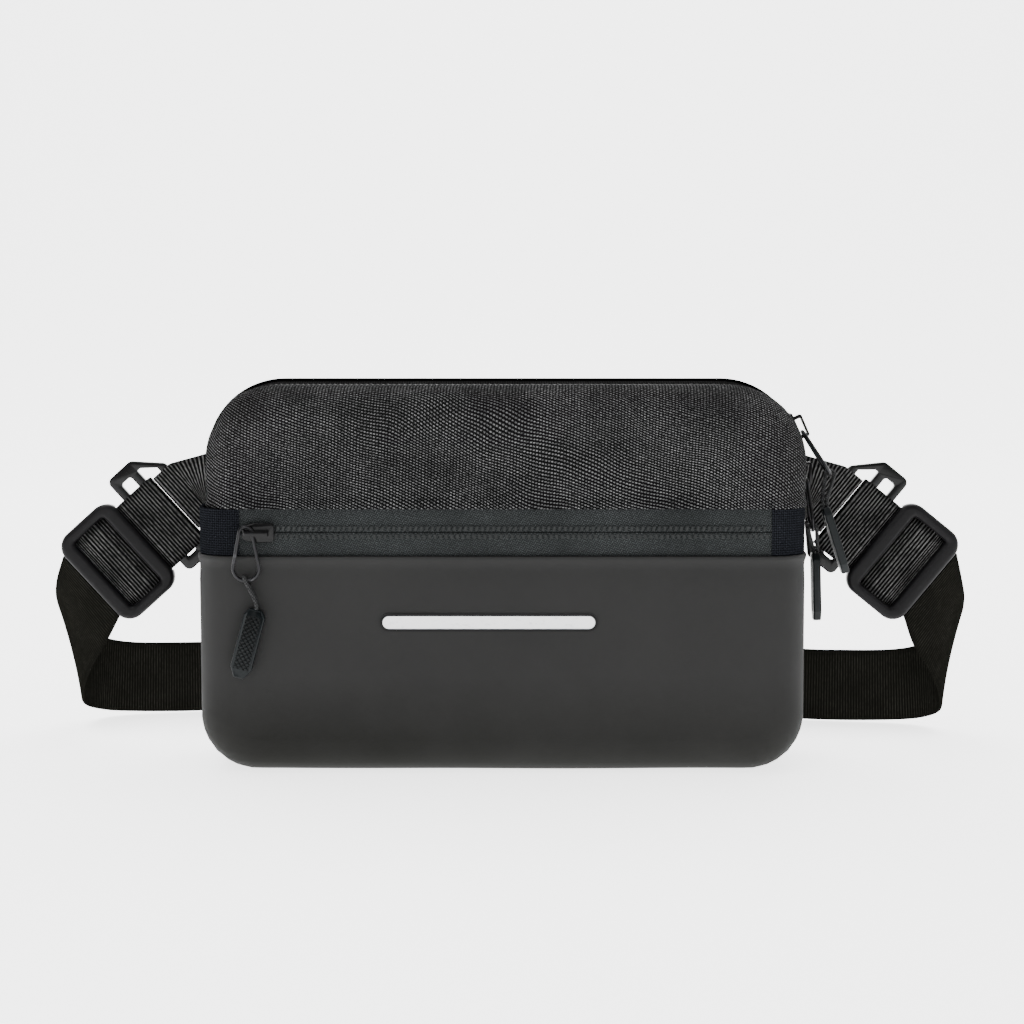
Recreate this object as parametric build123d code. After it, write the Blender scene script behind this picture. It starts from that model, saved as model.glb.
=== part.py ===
"""Waist bag on a webbing belt: a zipped pouch with a zipped front pocket, held by a two-part belt.

Millimetres. +X is the wearer's left as seen from the front, +Y goes from the front face to the
back panel, +Z is up. The origin is the centre of the flat base that the bag stands on.
"""

from build123d import *
from math import asin, cos, pi, sin
import os

# ---------------------------------------------------------------- driving dimensions
BODY_WIDTH = 267.0
BODY_HEIGHT = 170.0
BODY_FRONT = -35.0
BODY_BACK = 35.0
TOP_CORNER = 34.0
BASE_CORNER = 25.0
FRONT_ROLL = 16.0
BACK_ROLL = 9.0
FABRIC = 2.4

TRACK_FRONT = -6.0
TRACK_BACK = 14.0
TRACK_MIDDLE = (TRACK_FRONT + TRACK_BACK) / 2
TRACK_END = 92.0
PANEL_SEAM = TRACK_BACK + 8

POCKET_TOP = 117.0
POCKET_BOTTOM = 96.6
POCKET_MIDDLE = (POCKET_TOP + POCKET_BOTTOM) / 2
POCKET_LEFT = -114.0
POCKET_RIGHT = 117.0

CHAIN_WIDTH = 5.0
CHAIN_INSET = 0.3
TAPE_INSET = 1.3
TAPE = 0.6

WIRE = 1.6
BAIL_TOP = 2.8
BAIL_BOTTOM = 5.6
BAIL_SPAN = 15.0
CORD = 1.8
CORD_SLACK = 0.3
GRIP_LENGTH = 31.0
GRIP_WIDTH = 9.4
GRIP_DEPTH = 3.6

WEBBING = 38.0
WEB = 1.6
SLOT = 39.6

OUT = "parts"


# ---------------------------------------------------------------- shared shapes
def outline(inset):
    """The body's face outline, drawn in by inset, with x across and y up."""
    sheet = Pos(0, BODY_HEIGHT / 2) * Rectangle(BODY_WIDTH - 2 * inset, BODY_HEIGHT - 2 * inset)
    corners = sheet.vertices().sort_by(Axis.Y)
    sheet = fillet(corners[2:], TOP_CORNER - inset)
    corners = sheet.vertices().sort_by(Axis.Y)
    return fillet(corners[:2], BASE_CORNER - inset)


def slab(sketch, front, back):
    """A sketch of the face, as thick as from front to back along Y."""
    return extrude(Plane.XZ.offset(-back) * sketch, amount=back - front)


def pillow(inset):
    """The bag's outer form, drawn in by inset, with rolled front and back edges."""
    form = slab(outline(inset), BODY_FRONT + inset, BODY_BACK - inset)
    front_edges = form.faces().sort_by(Axis.Y)[0].edges()
    form = fillet(front_edges, FRONT_ROLL - inset)
    back_edges = form.faces().sort_by(Axis.Y)[-1].edges()
    return fillet(back_edges, BACK_ROLL - inset)


def block(x, y, z):
    """A box from its low and high limits."""
    return Pos(x[0], y[0], z[0]) * Box(
        x[1] - x[0], y[1] - y[0], z[1] - z[0], align=(Align.MIN, Align.MIN, Align.MIN)
    )


def band(outer, inner, front, back, low, high):
    """A strip of the side wall, between two insets, from front to back and low to high."""
    ring = slab(outline(outer) - outline(inner), front, back)
    return ring & block((-BODY_WIDTH, BODY_WIDTH), (front, back), (low, high))


def ribbon(points, width, radius):
    """Webbing whose side view is a bent line, as wide as width along local Z."""
    line = FilletPolyline(*points, radius=radius)
    return extrude(trace(line.edges(), line_width=WEB), width / 2, both=True)


SHELLS = {inset: pillow(inset) for inset in (0.0, 0.2, 2.2, FABRIC)}


def skin(outer, inner, x, y, z):
    """The part of the wall between two insets that lies inside the limits."""
    return (SHELLS[outer] - SHELLS[inner]) & block(x, y, z)


WIDE = (-BODY_WIDTH, BODY_WIDTH)
ALL_FRONT = (BODY_FRONT - 5, TRACK_FRONT)


# ---------------------------------------------------------------- bag shell
def front_upper_panel():
    return skin(0.0, FABRIC, WIDE, ALL_FRONT, (POCKET_TOP, BODY_HEIGHT + 5))


def front_lower_panel():
    panel = skin(0.0, FABRIC, WIDE, ALL_FRONT, (-5, POCKET_BOTTOM))
    return panel - strip_outline(STRIP_FRAME_GROWTH, BODY_FRONT - 1, BODY_FRONT + 1.2)


def base_gusset():
    return band(0, FABRIC, TRACK_FRONT, TRACK_BACK, -1, TRACK_END)


def rear_gusset():
    return band(0, FABRIC, TRACK_BACK, PANEL_SEAM, -1, BODY_HEIGHT + 1)


def back_panel():
    return skin(0.0, FABRIC, WIDE, (PANEL_SEAM, BODY_BACK + 5), (-5, BODY_HEIGHT + 5))


def back_pad(centre, height):
    """A foam pad under air mesh, standing out of the back panel."""
    pad = slab(Pos(0, centre) * RectangleRounded(206, height, 20), BODY_BACK, BODY_BACK + 5)
    rim = pad.faces().sort_by(Axis.Y)[-1].edges()
    return fillet(rim, 3.5)


def rear_piping():
    """Bound seam between the rear gusset and the back panel."""
    seam = slab(outline(-1.6) - outline(0), PANEL_SEAM - 1.6, PANEL_SEAM + 1.6)
    keep = block(WIDE, (0, 40), (BASE_CORNER, BODY_HEIGHT + 9))
    return seam & keep


# ---------------------------------------------------------------- front pocket
STRIP_LEFT = -52.0
STRIP_RIGHT = 40.5
STRIP_MIDDLE = 67.5
STRIP_HEIGHT = 5.6
STRIP_FRAME_GROWTH = 1.1


def strip_outline(growth, front, back):
    width = STRIP_RIGHT - STRIP_LEFT + 2 * growth
    height = STRIP_HEIGHT + 2 * growth
    middle = (STRIP_LEFT + STRIP_RIGHT) / 2
    return slab(Pos(middle, STRIP_MIDDLE) * SlotOverall(width, height), front, back)


def reflective_strip():
    return strip_outline(0, BODY_FRONT - 0.3, BODY_FRONT + 1.2)


def strip_frame():
    outer = strip_outline(STRIP_FRAME_GROWTH, BODY_FRONT - 0.5, BODY_FRONT + 1.2)
    return outer - strip_outline(0, BODY_FRONT - 1, BODY_FRONT + 2)


def front_tape(low, high):
    x = (POCKET_LEFT, POCKET_RIGHT)
    return block(x, (BODY_FRONT + TAPE_INSET, BODY_FRONT + TAPE_INSET + TAPE), (low, high))


def front_chain():
    x = (POCKET_LEFT, POCKET_RIGHT)
    z = (POCKET_MIDDLE - CHAIN_WIDTH / 2, POCKET_MIDDLE + CHAIN_WIDTH / 2)
    return block(x, (BODY_FRONT + CHAIN_INSET, BODY_FRONT + TAPE_INSET), z)


def front_end_tab(x):
    return skin(0.2, 2.2, x, ALL_FRONT, (POCKET_BOTTOM, POCKET_TOP))


def front_pocket_lining():
    """A flat pouch behind the front pocket's zip, open at its top."""
    x = (-118, 118)
    outer = block(x, (BODY_FRONT + 2.8, -17), (14, 116))
    inner = block((x[0] + 0.8, x[1] - 0.8), (BODY_FRONT + 3.6, -17.8), (14.8, 117))
    rounded = fillet(outer.edges().filter_by(Axis.Y).sort_by(Axis.Z)[:2], 22)
    hollow = fillet(inner.edges().filter_by(Axis.Y).sort_by(Axis.Z)[:2], 21)
    return rounded - hollow


def pocket_divider():
    """Foam-backed wall between the front pocket and the main compartment."""
    face = outline(FABRIC + 1) & Pos(0, 75) * Rectangle(BODY_WIDTH, 140)
    return slab(face, -16.5, -13.5)


# ---------------------------------------------------------------- main compartment
def main_tape(front, back):
    return band(TAPE_INSET, TAPE_INSET + TAPE, front, back, TRACK_END, BODY_HEIGHT)


def main_chain():
    y = (TRACK_MIDDLE - CHAIN_WIDTH / 2, TRACK_MIDDLE + CHAIN_WIDTH / 2)
    return band(CHAIN_INSET, TAPE_INSET, *y, TRACK_END, BODY_HEIGHT)


def main_lining():
    """The main compartment's lining, open along its top under the zip."""
    outer = slab(outline(FABRIC + 0.3), -13, BODY_BACK - FABRIC - 6)
    inner = slab(outline(FABRIC + 1.1), -12.2, BODY_BACK - FABRIC - 6.8)
    mouth = block(WIDE, (-12.2, BODY_BACK - FABRIC - 6.8), (BODY_HEIGHT - 12, BODY_HEIGHT))
    return outer - inner - mouth


def back_board():
    """Foam sheet that keeps the back panel flat, between the panel and the lining."""
    face = outline(12)
    return slab(face, BODY_BACK - FABRIC - 4.5, BODY_BACK - FABRIC)


def base_board():
    """Stiff board that lies on the lining's floor."""
    return block((-98, 98), (-11.5, 24.5), (FABRIC + 1.2, FABRIC + 2.7))


# ---------------------------------------------------------------- zip sliders and pulls
SLIDER_LENGTH = 13.6
SLIDER_WIDTH = 8.8
PLATE_LOW = 0.25
PLATE_TOP = 2.2
WINDOW_TOP = 5.0
CROWN_TOP = 6.1
CROWN_WIDTH = 2.2
POST_LOW = -5.2
POST_HIGH = 3.8
POST = 1.6
WIRE_HEIGHT = (PLATE_TOP + WINDOW_TOP) / 2
HANG_IN_WINDOW = POST_LOW + POST / 2 + WIRE / 2 + 0.5


def slider():
    """A zip slider: local x along the zip, y across it, z outwards from the chain's face."""
    end = SLIDER_LENGTH / 2
    half = SLIDER_WIDTH / 2
    plan = Polygon(
        (-end, -half + 1.4),
        (-1.5, -half),
        (end, -half + 0.4),
        (end, half - 0.4),
        (-1.5, half),
        (-end, half - 1.4),
        align=None,
    )
    plan = fillet(plan.vertices(), 1.2)
    plate = extrude(Pos(0, 0, PLATE_LOW) * plan, PLATE_TOP - PLATE_LOW)
    plate = chamfer(plate.faces().sort_by(Axis.Z)[-1].edges(), 0.4)
    for edge in (-1, 1):
        plate += Pos(0.8, edge * 3.5, PLATE_LOW - 0.2) * Box(9, 0.9, 0.42)
    middle = (POST_LOW + POST_HIGH) / 2
    length = POST_HIGH - POST_LOW + POST
    side = Pos(middle, (PLATE_TOP + CROWN_TOP) / 2) * Rectangle(length, CROWN_TOP - PLATE_TOP)
    side = fillet(side.vertices().sort_by(Axis.Y)[2:], 1.0)
    window = Pos(middle, (PLATE_TOP + WINDOW_TOP) / 2) * Rectangle(
        length - 2 * POST, WINDOW_TOP - PLATE_TOP
    )
    crown = extrude(Plane.XZ * (side - window), CROWN_WIDTH / 2, both=True)
    return plate + crown


def bail():
    """The slider's wire loop, hanging along local -x from its top circle's centre."""
    slope = asin((BAIL_BOTTOM - BAIL_TOP) / BAIL_SPAN)
    top_touch = (BAIL_TOP * sin(slope), BAIL_TOP * cos(slope))
    low_touch = (-BAIL_SPAN + BAIL_BOTTOM * sin(slope), BAIL_BOTTOM * cos(slope))
    half_way = slope / 2 + pi / 4
    low_way = pi / 2 + (pi / 2 - slope) / 2
    top_middle = (BAIL_TOP * sin(half_way), BAIL_TOP * cos(half_way))
    low_middle = (-BAIL_SPAN + BAIL_BOTTOM * cos(low_way), BAIL_BOTTOM * sin(low_way))
    path = Wire(
        [
            ThreePointArc((BAIL_TOP, 0), top_middle, top_touch),
            Line(top_touch, low_touch),
            ThreePointArc(low_touch, low_middle, (-BAIL_SPAN - BAIL_BOTTOM, 0)),
        ]
    )
    half = sweep(Plane((BAIL_TOP, 0), z_dir=(0, 1, 0)) * Circle(WIRE / 2), path)
    return half + mirror(half, about=Plane.XZ)


def pull_cord(wire, axis, grip_top, up):
    """A cord bight from the grip's top face over the bail's lowest wire and back down."""
    rise = (wire - grip_top).normalized()
    out = WIRE / 2 + CORD / 2 + CORD_SLACK
    wide = rise.cross(axis).normalized() * out
    near = up.cross(axis).normalized() * (CORD / 2 + 0.06)
    knee = grip_top + up * 2.4
    crest = wire + rise * out
    points = [
        grip_top - near,
        knee - near,
        crest - wide,
        crest + wide,
        knee + near,
        grip_top + near,
    ]
    path = FilletPolyline(*points, radius=CORD)
    profile = Plane(path @ 0, z_dir=path % 0) * Circle(CORD / 2)
    return sweep(profile, path)


def grip():
    """Moulded grip: local z up with its top face at zero, width along x."""
    half = GRIP_WIDTH / 2
    plan = Polygon(
        (-half + 2, 0),
        (half - 2, 0),
        (half, -3),
        (half, -GRIP_LENGTH + 4.5),
        (half - 2.5, -GRIP_LENGTH),
        (-half + 2.5, -GRIP_LENGTH),
        (-half, -GRIP_LENGTH + 4.5),
        (-half, -3),
        align=None,
    )
    body = extrude(Plane.XZ * plan, GRIP_DEPTH / 2, both=True)
    return fillet(body.edges(), 0.7)


def pull_set(slider_frame, hang, axis, lean, grip_top, up):
    """Slider, bail, cord and grip of one zip.

    hang is the centre of the bail's top circle, axis the way its wire crosses the zip, lean the
    way the bail points down, and up the way the grip points up.
    """
    bail_frame = Plane(hang, x_dir=lean * -1, z_dir=(lean * -1).cross(axis))
    wire = hang + lean * (BAIL_SPAN + BAIL_BOTTOM)
    cord = pull_cord(wire, axis, grip_top, up)
    across = (axis - up * axis.dot(up)).normalized()
    grip_frame = Plane(grip_top, x_dir=across, z_dir=up)
    return (
        slider_frame.location * slider(),
        bail_frame.location * bail(),
        cord,
        grip_frame.location * grip(),
    )


def tilted(x_part, degrees):
    """The upward direction leaning by the given degrees towards +X, or -X if x_part is -1."""
    return Vector(0, 0, 1).rotate(Axis.Y, degrees * x_part)


FRONT_SLIDER_X = -105.5
FRONT_GRIP_TOP = (-106.4, 73.8)
FRONT_GRIP_TILT = 15.0


def front_pull():
    face = BODY_FRONT + CHAIN_INSET
    frame = Plane((FRONT_SLIDER_X, face, POCKET_MIDDLE), x_dir=(1, 0, 0), z_dir=(0, -1, 0))
    hang = Vector(FRONT_SLIDER_X + POST_LOW, face - WIRE_HEIGHT, POCKET_MIDDLE)
    grip_top = Vector(FRONT_GRIP_TOP[0], hang.Y, FRONT_GRIP_TOP[1])
    up = tilted(1, FRONT_GRIP_TILT)
    return pull_set(frame, hang, Vector(1, 0, 0), Vector(0, 0, -1), grip_top, up)


CORNER_X = BODY_WIDTH / 2 - TOP_CORNER
CORNER_Z = BODY_HEIGHT - TOP_CORNER
UPPER_ANGLE = 24.0
UPPER_LEAN = 33.0
UPPER_GRIP_TOP = (144.7, -2.0, 114.7)
UPPER_GRIP_TILT = 18.0
LOWER_HEIGHT = 130.0
LOWER_LEAN = 8.0
LOWER_GRIP_TOP = (142.2, 9.5, 93.0)
LOWER_GRIP_TILT = 2.0


def side_pull(place, turn, lean_angle, grip_top, grip_tilt):
    """A pull on the side wall: place is the chain's face under the slider, turned by turn."""
    outward = Vector(1, 0, 0).rotate(Axis.Y, -turn)
    along = Vector(0, 0, 1).rotate(Axis.Y, -turn)
    frame = Plane(place, x_dir=along, z_dir=outward)
    lean = Vector(0, 0, -1).rotate(Axis.Y, -lean_angle)
    crest = place + along * HANG_IN_WINDOW + outward * WIRE_HEIGHT
    hang = crest + lean * BAIL_TOP
    up = tilted(-1, grip_tilt)
    return pull_set(frame, hang, Vector(0, 1, 0), lean, Vector(*grip_top), up)


def upper_pull():
    outward = Vector(1, 0, 0).rotate(Axis.Y, -UPPER_ANGLE)
    place = Vector(CORNER_X, TRACK_MIDDLE, CORNER_Z) + outward * (TOP_CORNER - CHAIN_INSET)
    return side_pull(place, UPPER_ANGLE, UPPER_LEAN, UPPER_GRIP_TOP, UPPER_GRIP_TILT)


def lower_pull():
    place = Vector(BODY_WIDTH / 2 - CHAIN_INSET, TRACK_MIDDLE, LOWER_HEIGHT)
    return side_pull(place, 0.0, LOWER_LEAN, LOWER_GRIP_TOP, LOWER_GRIP_TILT)


# ---------------------------------------------------------------- belt hardware, in its own frame
# Local x runs up the webbing from the adjuster to the ring, y points at the viewer and z
# runs across the webbing.
BELT_ANGLE = {"left": 42.0, "right": 39.0}
BELT_PLANE = 28.0
ADJUSTER_HEIGHT = 86.7
ADJUSTER_REACH = {"left": 178.0, "right": 184.9}

ADJUSTER_LENGTH = 33.5
ADJUSTER_WIDTH = 50.4
ADJUSTER_BAR = 7.5
ADJUSTER_DEPTH = 5.0
UNDER_BAR = 2.2
RING_LOW = 21.0
RING_HIGH = 47.0
RING_WIDTH = 56.0
RING_CUT = 11.5
RING_OFFSET = 2.6
RING_BAR = 4.0
CENTRE_BAR = (31.0, 35.0)
RING_SIDE = 5.4
RING_DEPTH = 3.0
LIE = -0.5


def adjuster():
    """Tri-glide: two outer bars in front of the webbing and a lower centre bar behind it."""
    standing = (Align.CENTER, Align.CENTER, Align.MIN)
    plan = RectangleRounded(ADJUSTER_LENGTH, ADJUSTER_WIDTH, 8)
    window = RectangleRounded(ADJUSTER_LENGTH - 2 * ADJUSTER_BAR, SLOT, 1.5)
    frame = extrude(plan - window, ADJUSTER_DEPTH)
    frame = fillet(frame.faces().sort_by(Axis.Z)[-1].edges(), 2.2)
    for side in (-1, 1):
        x = side * (ADJUSTER_LENGTH - ADJUSTER_BAR) / 2
        frame -= Pos(x, 0, 0) * Box(ADJUSTER_BAR + 0.2, SLOT, UNDER_BAR, align=standing)
    bar = Pos(0, 0, -2.2) * Box(4, ADJUSTER_WIDTH - 6, 2.4, align=standing)
    strut = (ADJUSTER_WIDTH - SLOT) / 2 - 1.2
    for side in (-1, 1):
        y = side * (SLOT + strut) / 2
        bar += Pos(0, y, -2.2) * Box(12, strut, 2.4, align=standing)
    return Rot(-90, 0, 0) * (frame + bar)


def ring():
    """Flat two-slot loop plate with cut-off corners on the bag's side."""
    half = RING_WIDTH / 2
    cut = RING_CUT
    plan = Polygon(
        (RING_LOW, -half),
        (RING_HIGH - cut, -half),
        (RING_HIGH, -half + cut),
        (RING_HIGH, half - cut),
        (RING_HIGH - cut, half),
        (RING_LOW, half),
        align=None,
    )
    plan = fillet(plan.vertices(), 3)
    low_slot = ((RING_LOW + RING_BAR), CENTRE_BAR[0])
    low_length = RING_WIDTH - 2 * RING_SIDE
    plan -= Pos(sum(low_slot) / 2, 0) * RectangleRounded(low_slot[1] - low_slot[0], low_length, 1.5)
    wide = RING_WIDTH / 2 - RING_SIDE - 0.2
    narrow = WING_WIDTH / 2 + RING_OFFSET + 1.2
    high_slot = Polygon(
        (CENTRE_BAR[1], -wide),
        (CENTRE_BAR[1] + 1.9, -wide),
        (RING_HIGH - RING_BAR, -narrow),
        (RING_HIGH - RING_BAR, narrow),
        (CENTRE_BAR[1] + 1.9, wide),
        (CENTRE_BAR[1], wide),
        align=None,
    )
    plan -= fillet(high_slot.vertices(), 0.5)
    plate = extrude(Pos(0, RING_OFFSET, -RING_DEPTH / 2) * plan, RING_DEPTH)
    flats = plate.faces().sort_by(Axis.Z)
    plate = chamfer(flats[-1].outer_wire().edges() + flats[0].outer_wire().edges(), 0.5)
    return Rot(90, 0, 0) * plate


def upper_webbing():
    """Belt webbing from its sewn end round the adjuster bar, up round the ring and down again."""
    front = RING_DEPTH / 2 + WEB / 2 + 0.25
    back = -front - 0.2
    over_bar = 0.2 + WEB / 2 + 0.1
    over_loop = over_bar + WEB + 0.1
    sewn = LIE - WEB - 0.1
    under = sewn - WEB - 0.1
    beside = 2 + WEB / 2 + 0.3
    fold = CENTRE_BAR[1] + 1.5
    return ribbon(
        [
            (10.5, sewn),
            (beside, sewn),
            (beside, over_bar),
            (-beside, over_bar),
            (-beside, under),
            (14, under),
            (20, back),
            (fold, back),
            (fold, front),
            (19.5, front),
            (15.5, LIE),
            (8.5, LIE),
            (3.6, over_loop),
            (-3.6, over_loop),
            (-8.5, LIE),
            (BELT_START, LIE),
        ],
        WEBBING,
        0.85,
    )


BELT_START = -17.5

# Rulings of the belt from the adjuster to behind the bag, outer or top edge first, for the
# right side. Y and Z are from the origin and X is from the bag's middle.
TOP_EDGE = [
    (217.0, 34.5, 78.0),
    (220.0, 43.0, 68.0),
    (219.5, 52.5, 57.5),
    (213.5, 61.0, 48.5),
    (203.0, 67.0, 42.0),
    (190.0, 71.0, 38.5),
    (168.0, 75.0, 36.8),
    (145.0, 79.0, 36.8),
    (120.0, 89.0, 38.4),
    (98.0, 99.0, 40.8),
    (80.0, 104.15, 43.0),
]
LOW_EDGE = [
    (194.0, 32.0, 46.0),
    (203.5, 39.0, 31.5),
    (210.5, 50.0, 18.0),
    (213.0, 63.0, 8.0),
    (207.0, 75.0, 2.6),
    (193.0, 81.5, 0.9),
    (170.0, 85.0, 0.9),
    (146.0, 89.0, 0.9),
    (120.0, 96.0, 1.4),
    (98.0, 102.0, 3.0),
    (80.0, 104.15, 5.0),
]
SET_BACK = {
    "right": [0.0] * 11,
    "left": [2.0, 6.0, 11.0, 16.0, 20.0, 22.0, 23.0, 22.0, 15.0, 5.0, 0.0],
}


RUN_SHIFT = {"left": -8.0, "right": -2.2}


def belt_frame(side):
    """The hardware's frame on the right, with the reach of the named side."""
    up = Vector(-1, 0, 0).rotate(Axis.Y, BELT_ANGLE[side])
    across = up.cross(Vector(0, -1, 0))
    return Plane((ADJUSTER_REACH[side], BELT_PLANE, ADJUSTER_HEIGHT), x_dir=up, z_dir=across)


def placed(side, shape):
    """A shape in the hardware's frame, put on the named side of the bag."""
    made = belt_frame(side).location * shape
    return mirror(made, about=Plane.YZ) if side == "left" else made


def ruling(top, low, ahead):
    """A thin rectangle across the belt at one ruling, square to the way ahead."""
    middle = (top + low) * 0.5
    across = (low - top).normalized()
    normal = across.cross(ahead).normalized() * (WEB / 2)
    first = middle - across * (WEBBING / 2)
    second = middle + across * (WEBBING / 2)
    return make_face(
        Polyline(first + normal, second + normal, second - normal, first - normal, close=True)
    )


def belt_edges(side):
    """Top and low edge points of the belt's run, from the adjuster to behind the bag."""
    frame = belt_frame(side)
    shift = RUN_SHIFT[side]
    tops = [frame.from_local_coords(Vector(BELT_START, LIE, WEBBING / 2))]
    lows = [frame.from_local_coords(Vector(BELT_START, LIE, -WEBBING / 2))]
    for top, low, back in zip(TOP_EDGE, LOW_EDGE, SET_BACK[side]):
        drawn_in = shift if top[0] > 150 else 0.0
        tops.append(Vector(top[0] + drawn_in, top[1] + back, top[2]))
        lows.append(Vector(low[0] + drawn_in, low[1] + back, low[2]))
    return tops, lows


def running_belt(side):
    """The belt from under the adjuster, down and round behind the bag to the buckle."""
    tops, lows = belt_edges(side)
    last = len(tops) - 1
    middles = [(top + low) * 0.5 for top, low in zip(tops, lows)]
    faces = []
    for i in range(last + 1):
        if i == 0:
            ahead = belt_frame(side).x_dir * -1
        elif i == last:
            ahead = Vector(-1, 0, 0)
        else:
            ahead = middles[i + 1] - middles[i - 1]
        faces.append(ruling(tops[i], lows[i], ahead))
    return loft(faces, ruled=True)


BUCKLE_Y = 105.0
BUCKLE_Z = 24.0
BUCKLE_HALF = 22.0


BELT_BAR = (33.0, 37.0)


def buckle_end():
    """Folded belt end round the buckle's bar: local x along the belt away from the buckle."""
    thin = WEB / 2 + 0.05
    around = 1.5 + WEB / 2 + 0.25
    fold = BELT_BAR[0] - WEB / 2 - 0.25
    return ribbon(
        [
            (80.5, -thin),
            (48, -thin),
            (41, -around),
            (fold, -around),
            (fold, around),
            (41, around),
            (48, thin),
            (66, thin),
        ],
        WEBBING,
        1.2,
    )


def belt(side):
    whole = running_belt(side) + Pos(0, BUCKLE_Y, BUCKLE_Z) * buckle_end()
    return mirror(whole, about=Plane.YZ) if side == "left" else whole


WING_LOW = 107.0
WING_HIGH = 138.0
WING_FRONT = BELT_PLANE - 13.5
WING_BACK = BELT_PLANE - 9.8
WING_DEPTH = 5.0
WING_WIDTH = 27.0


def wing(side):
    """Folded webbing tab from the bag's side to the ring's far bar."""
    frame = belt_frame(side)
    seam_x = BODY_WIDTH / 2
    seam = make_face(
        Polyline(
            (seam_x, WING_FRONT, WING_LOW),
            (seam_x, WING_BACK, WING_LOW),
            (seam_x, WING_BACK, WING_HIGH),
            (seam_x, WING_FRONT, WING_HIGH),
            close=True,
        )
    )
    fold_x = RING_HIGH - RING_BAR - 1.9
    half = WING_WIDTH / 2
    corners = [
        frame.from_local_coords(Vector(fold_x, y, z))
        for y, z in (
            (WING_DEPTH / 2 + 0.4, -half),
            (-WING_DEPTH / 2 - 0.4, -half),
            (-WING_DEPTH / 2 - 0.4, half),
            (WING_DEPTH / 2 + 0.4, half),
        )
    ]
    fold = make_face(Polyline(*corners, close=True))
    tab = loft([seam, fold], ruled=True)
    bar_room = Box(RING_BAR + 0.5, RING_DEPTH + 0.5, WING_WIDTH + 9)
    bar_space = Pos(RING_HIGH - RING_BAR / 2, 0, 0) * bar_room
    tab -= frame.location * bar_space
    return mirror(tab, about=Plane.YZ) if side == "left" else tab


# ---------------------------------------------------------------- buckle
HOUSING_LEFT = -24.0
HOUSING_MOUTH = 16.0
BUTTON_WINDOW = (-15.0, 3.0)
BUCKLE_DEPTH = 11.0
BUCKLE_WALL = 2.0
PLUG_BASE = (16.5, 24.0)
PRONG_ROOT = 15.0


def belt_slot(inner):
    """The frame beside the buckle, with the bar that the belt's end folds round."""
    plan = Pos((inner + BELT_BAR[1]) / 2, 0) * Rectangle(BELT_BAR[1] - inner, 2 * BUCKLE_HALF)
    plan = fillet(plan.vertices().sort_by(Axis.X)[2:], 4)
    slot_length = BELT_BAR[0] - inner
    plan -= Pos(inner + slot_length / 2, 0) * RectangleRounded(slot_length, SLOT, 1)
    return Rot(90, 0, 0) * extrude(plan, 1.5, both=True)


def buckle_housing():
    length = HOUSING_MOUTH - HOUSING_LEFT
    middle = (HOUSING_MOUTH + HOUSING_LEFT) / 2
    body = Pos(middle, 0, 0) * Box(length, BUCKLE_DEPTH, 2 * BUCKLE_HALF)
    body = fillet(body.edges().filter_by(Axis.X), 3)
    hollow_length = length - 3
    body -= Pos(HOUSING_MOUTH - hollow_length / 2, 0, 0) * Box(
        hollow_length, BUCKLE_DEPTH - 3.6, 2 * (BUCKLE_HALF - BUCKLE_WALL)
    )
    window_length = BUTTON_WINDOW[1] - BUTTON_WINDOW[0]
    body -= Pos(sum(BUTTON_WINDOW) / 2, 0, 0) * Box(window_length, 7.4, 3 * BUCKLE_HALF)
    return body + mirror(belt_slot(-HOUSING_LEFT), about=Plane.YZ)


def buckle_plug():
    """Plug base with its belt bar and the middle guide."""
    base_length = PLUG_BASE[1] - PLUG_BASE[0]
    base = Pos(sum(PLUG_BASE) / 2, 0, 0) * Box(base_length, 9, 2 * BUCKLE_HALF)
    base = fillet(base.edges().filter_by(Axis.X), 2)
    guide_low = -13.0
    guide = Pos((guide_low + PLUG_BASE[0]) / 2, 0, 0) * Box(PLUG_BASE[0] - guide_low, 3.6, 9)
    guide = fillet(guide.edges().filter_by(Axis.Y).sort_by(Axis.X)[:2], 2.5)
    return base + guide + belt_slot(PLUG_BASE[1])


def prong(side):
    """One sprung arm with its thumb button, on the side given by its sign."""
    arm = Polygon(
        (PRONG_ROOT + 1.1, 11.0),
        (PRONG_ROOT + 1.1, 15.0),
        (2.4, 17.6),
        (1.8, 22.6),
        (-10.5, 20.8),
        (-13.4, 16.5),
        (-11.0, 14.0),
        (2.0, 13.6),
        align=None,
    )
    made = Rot(90, 0, 0) * extrude(fillet(arm.vertices().sort_by(Axis.X)[:2], 1.0), 3.0, both=True)
    return made if side > 0 else mirror(made, about=Plane.XY)


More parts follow.
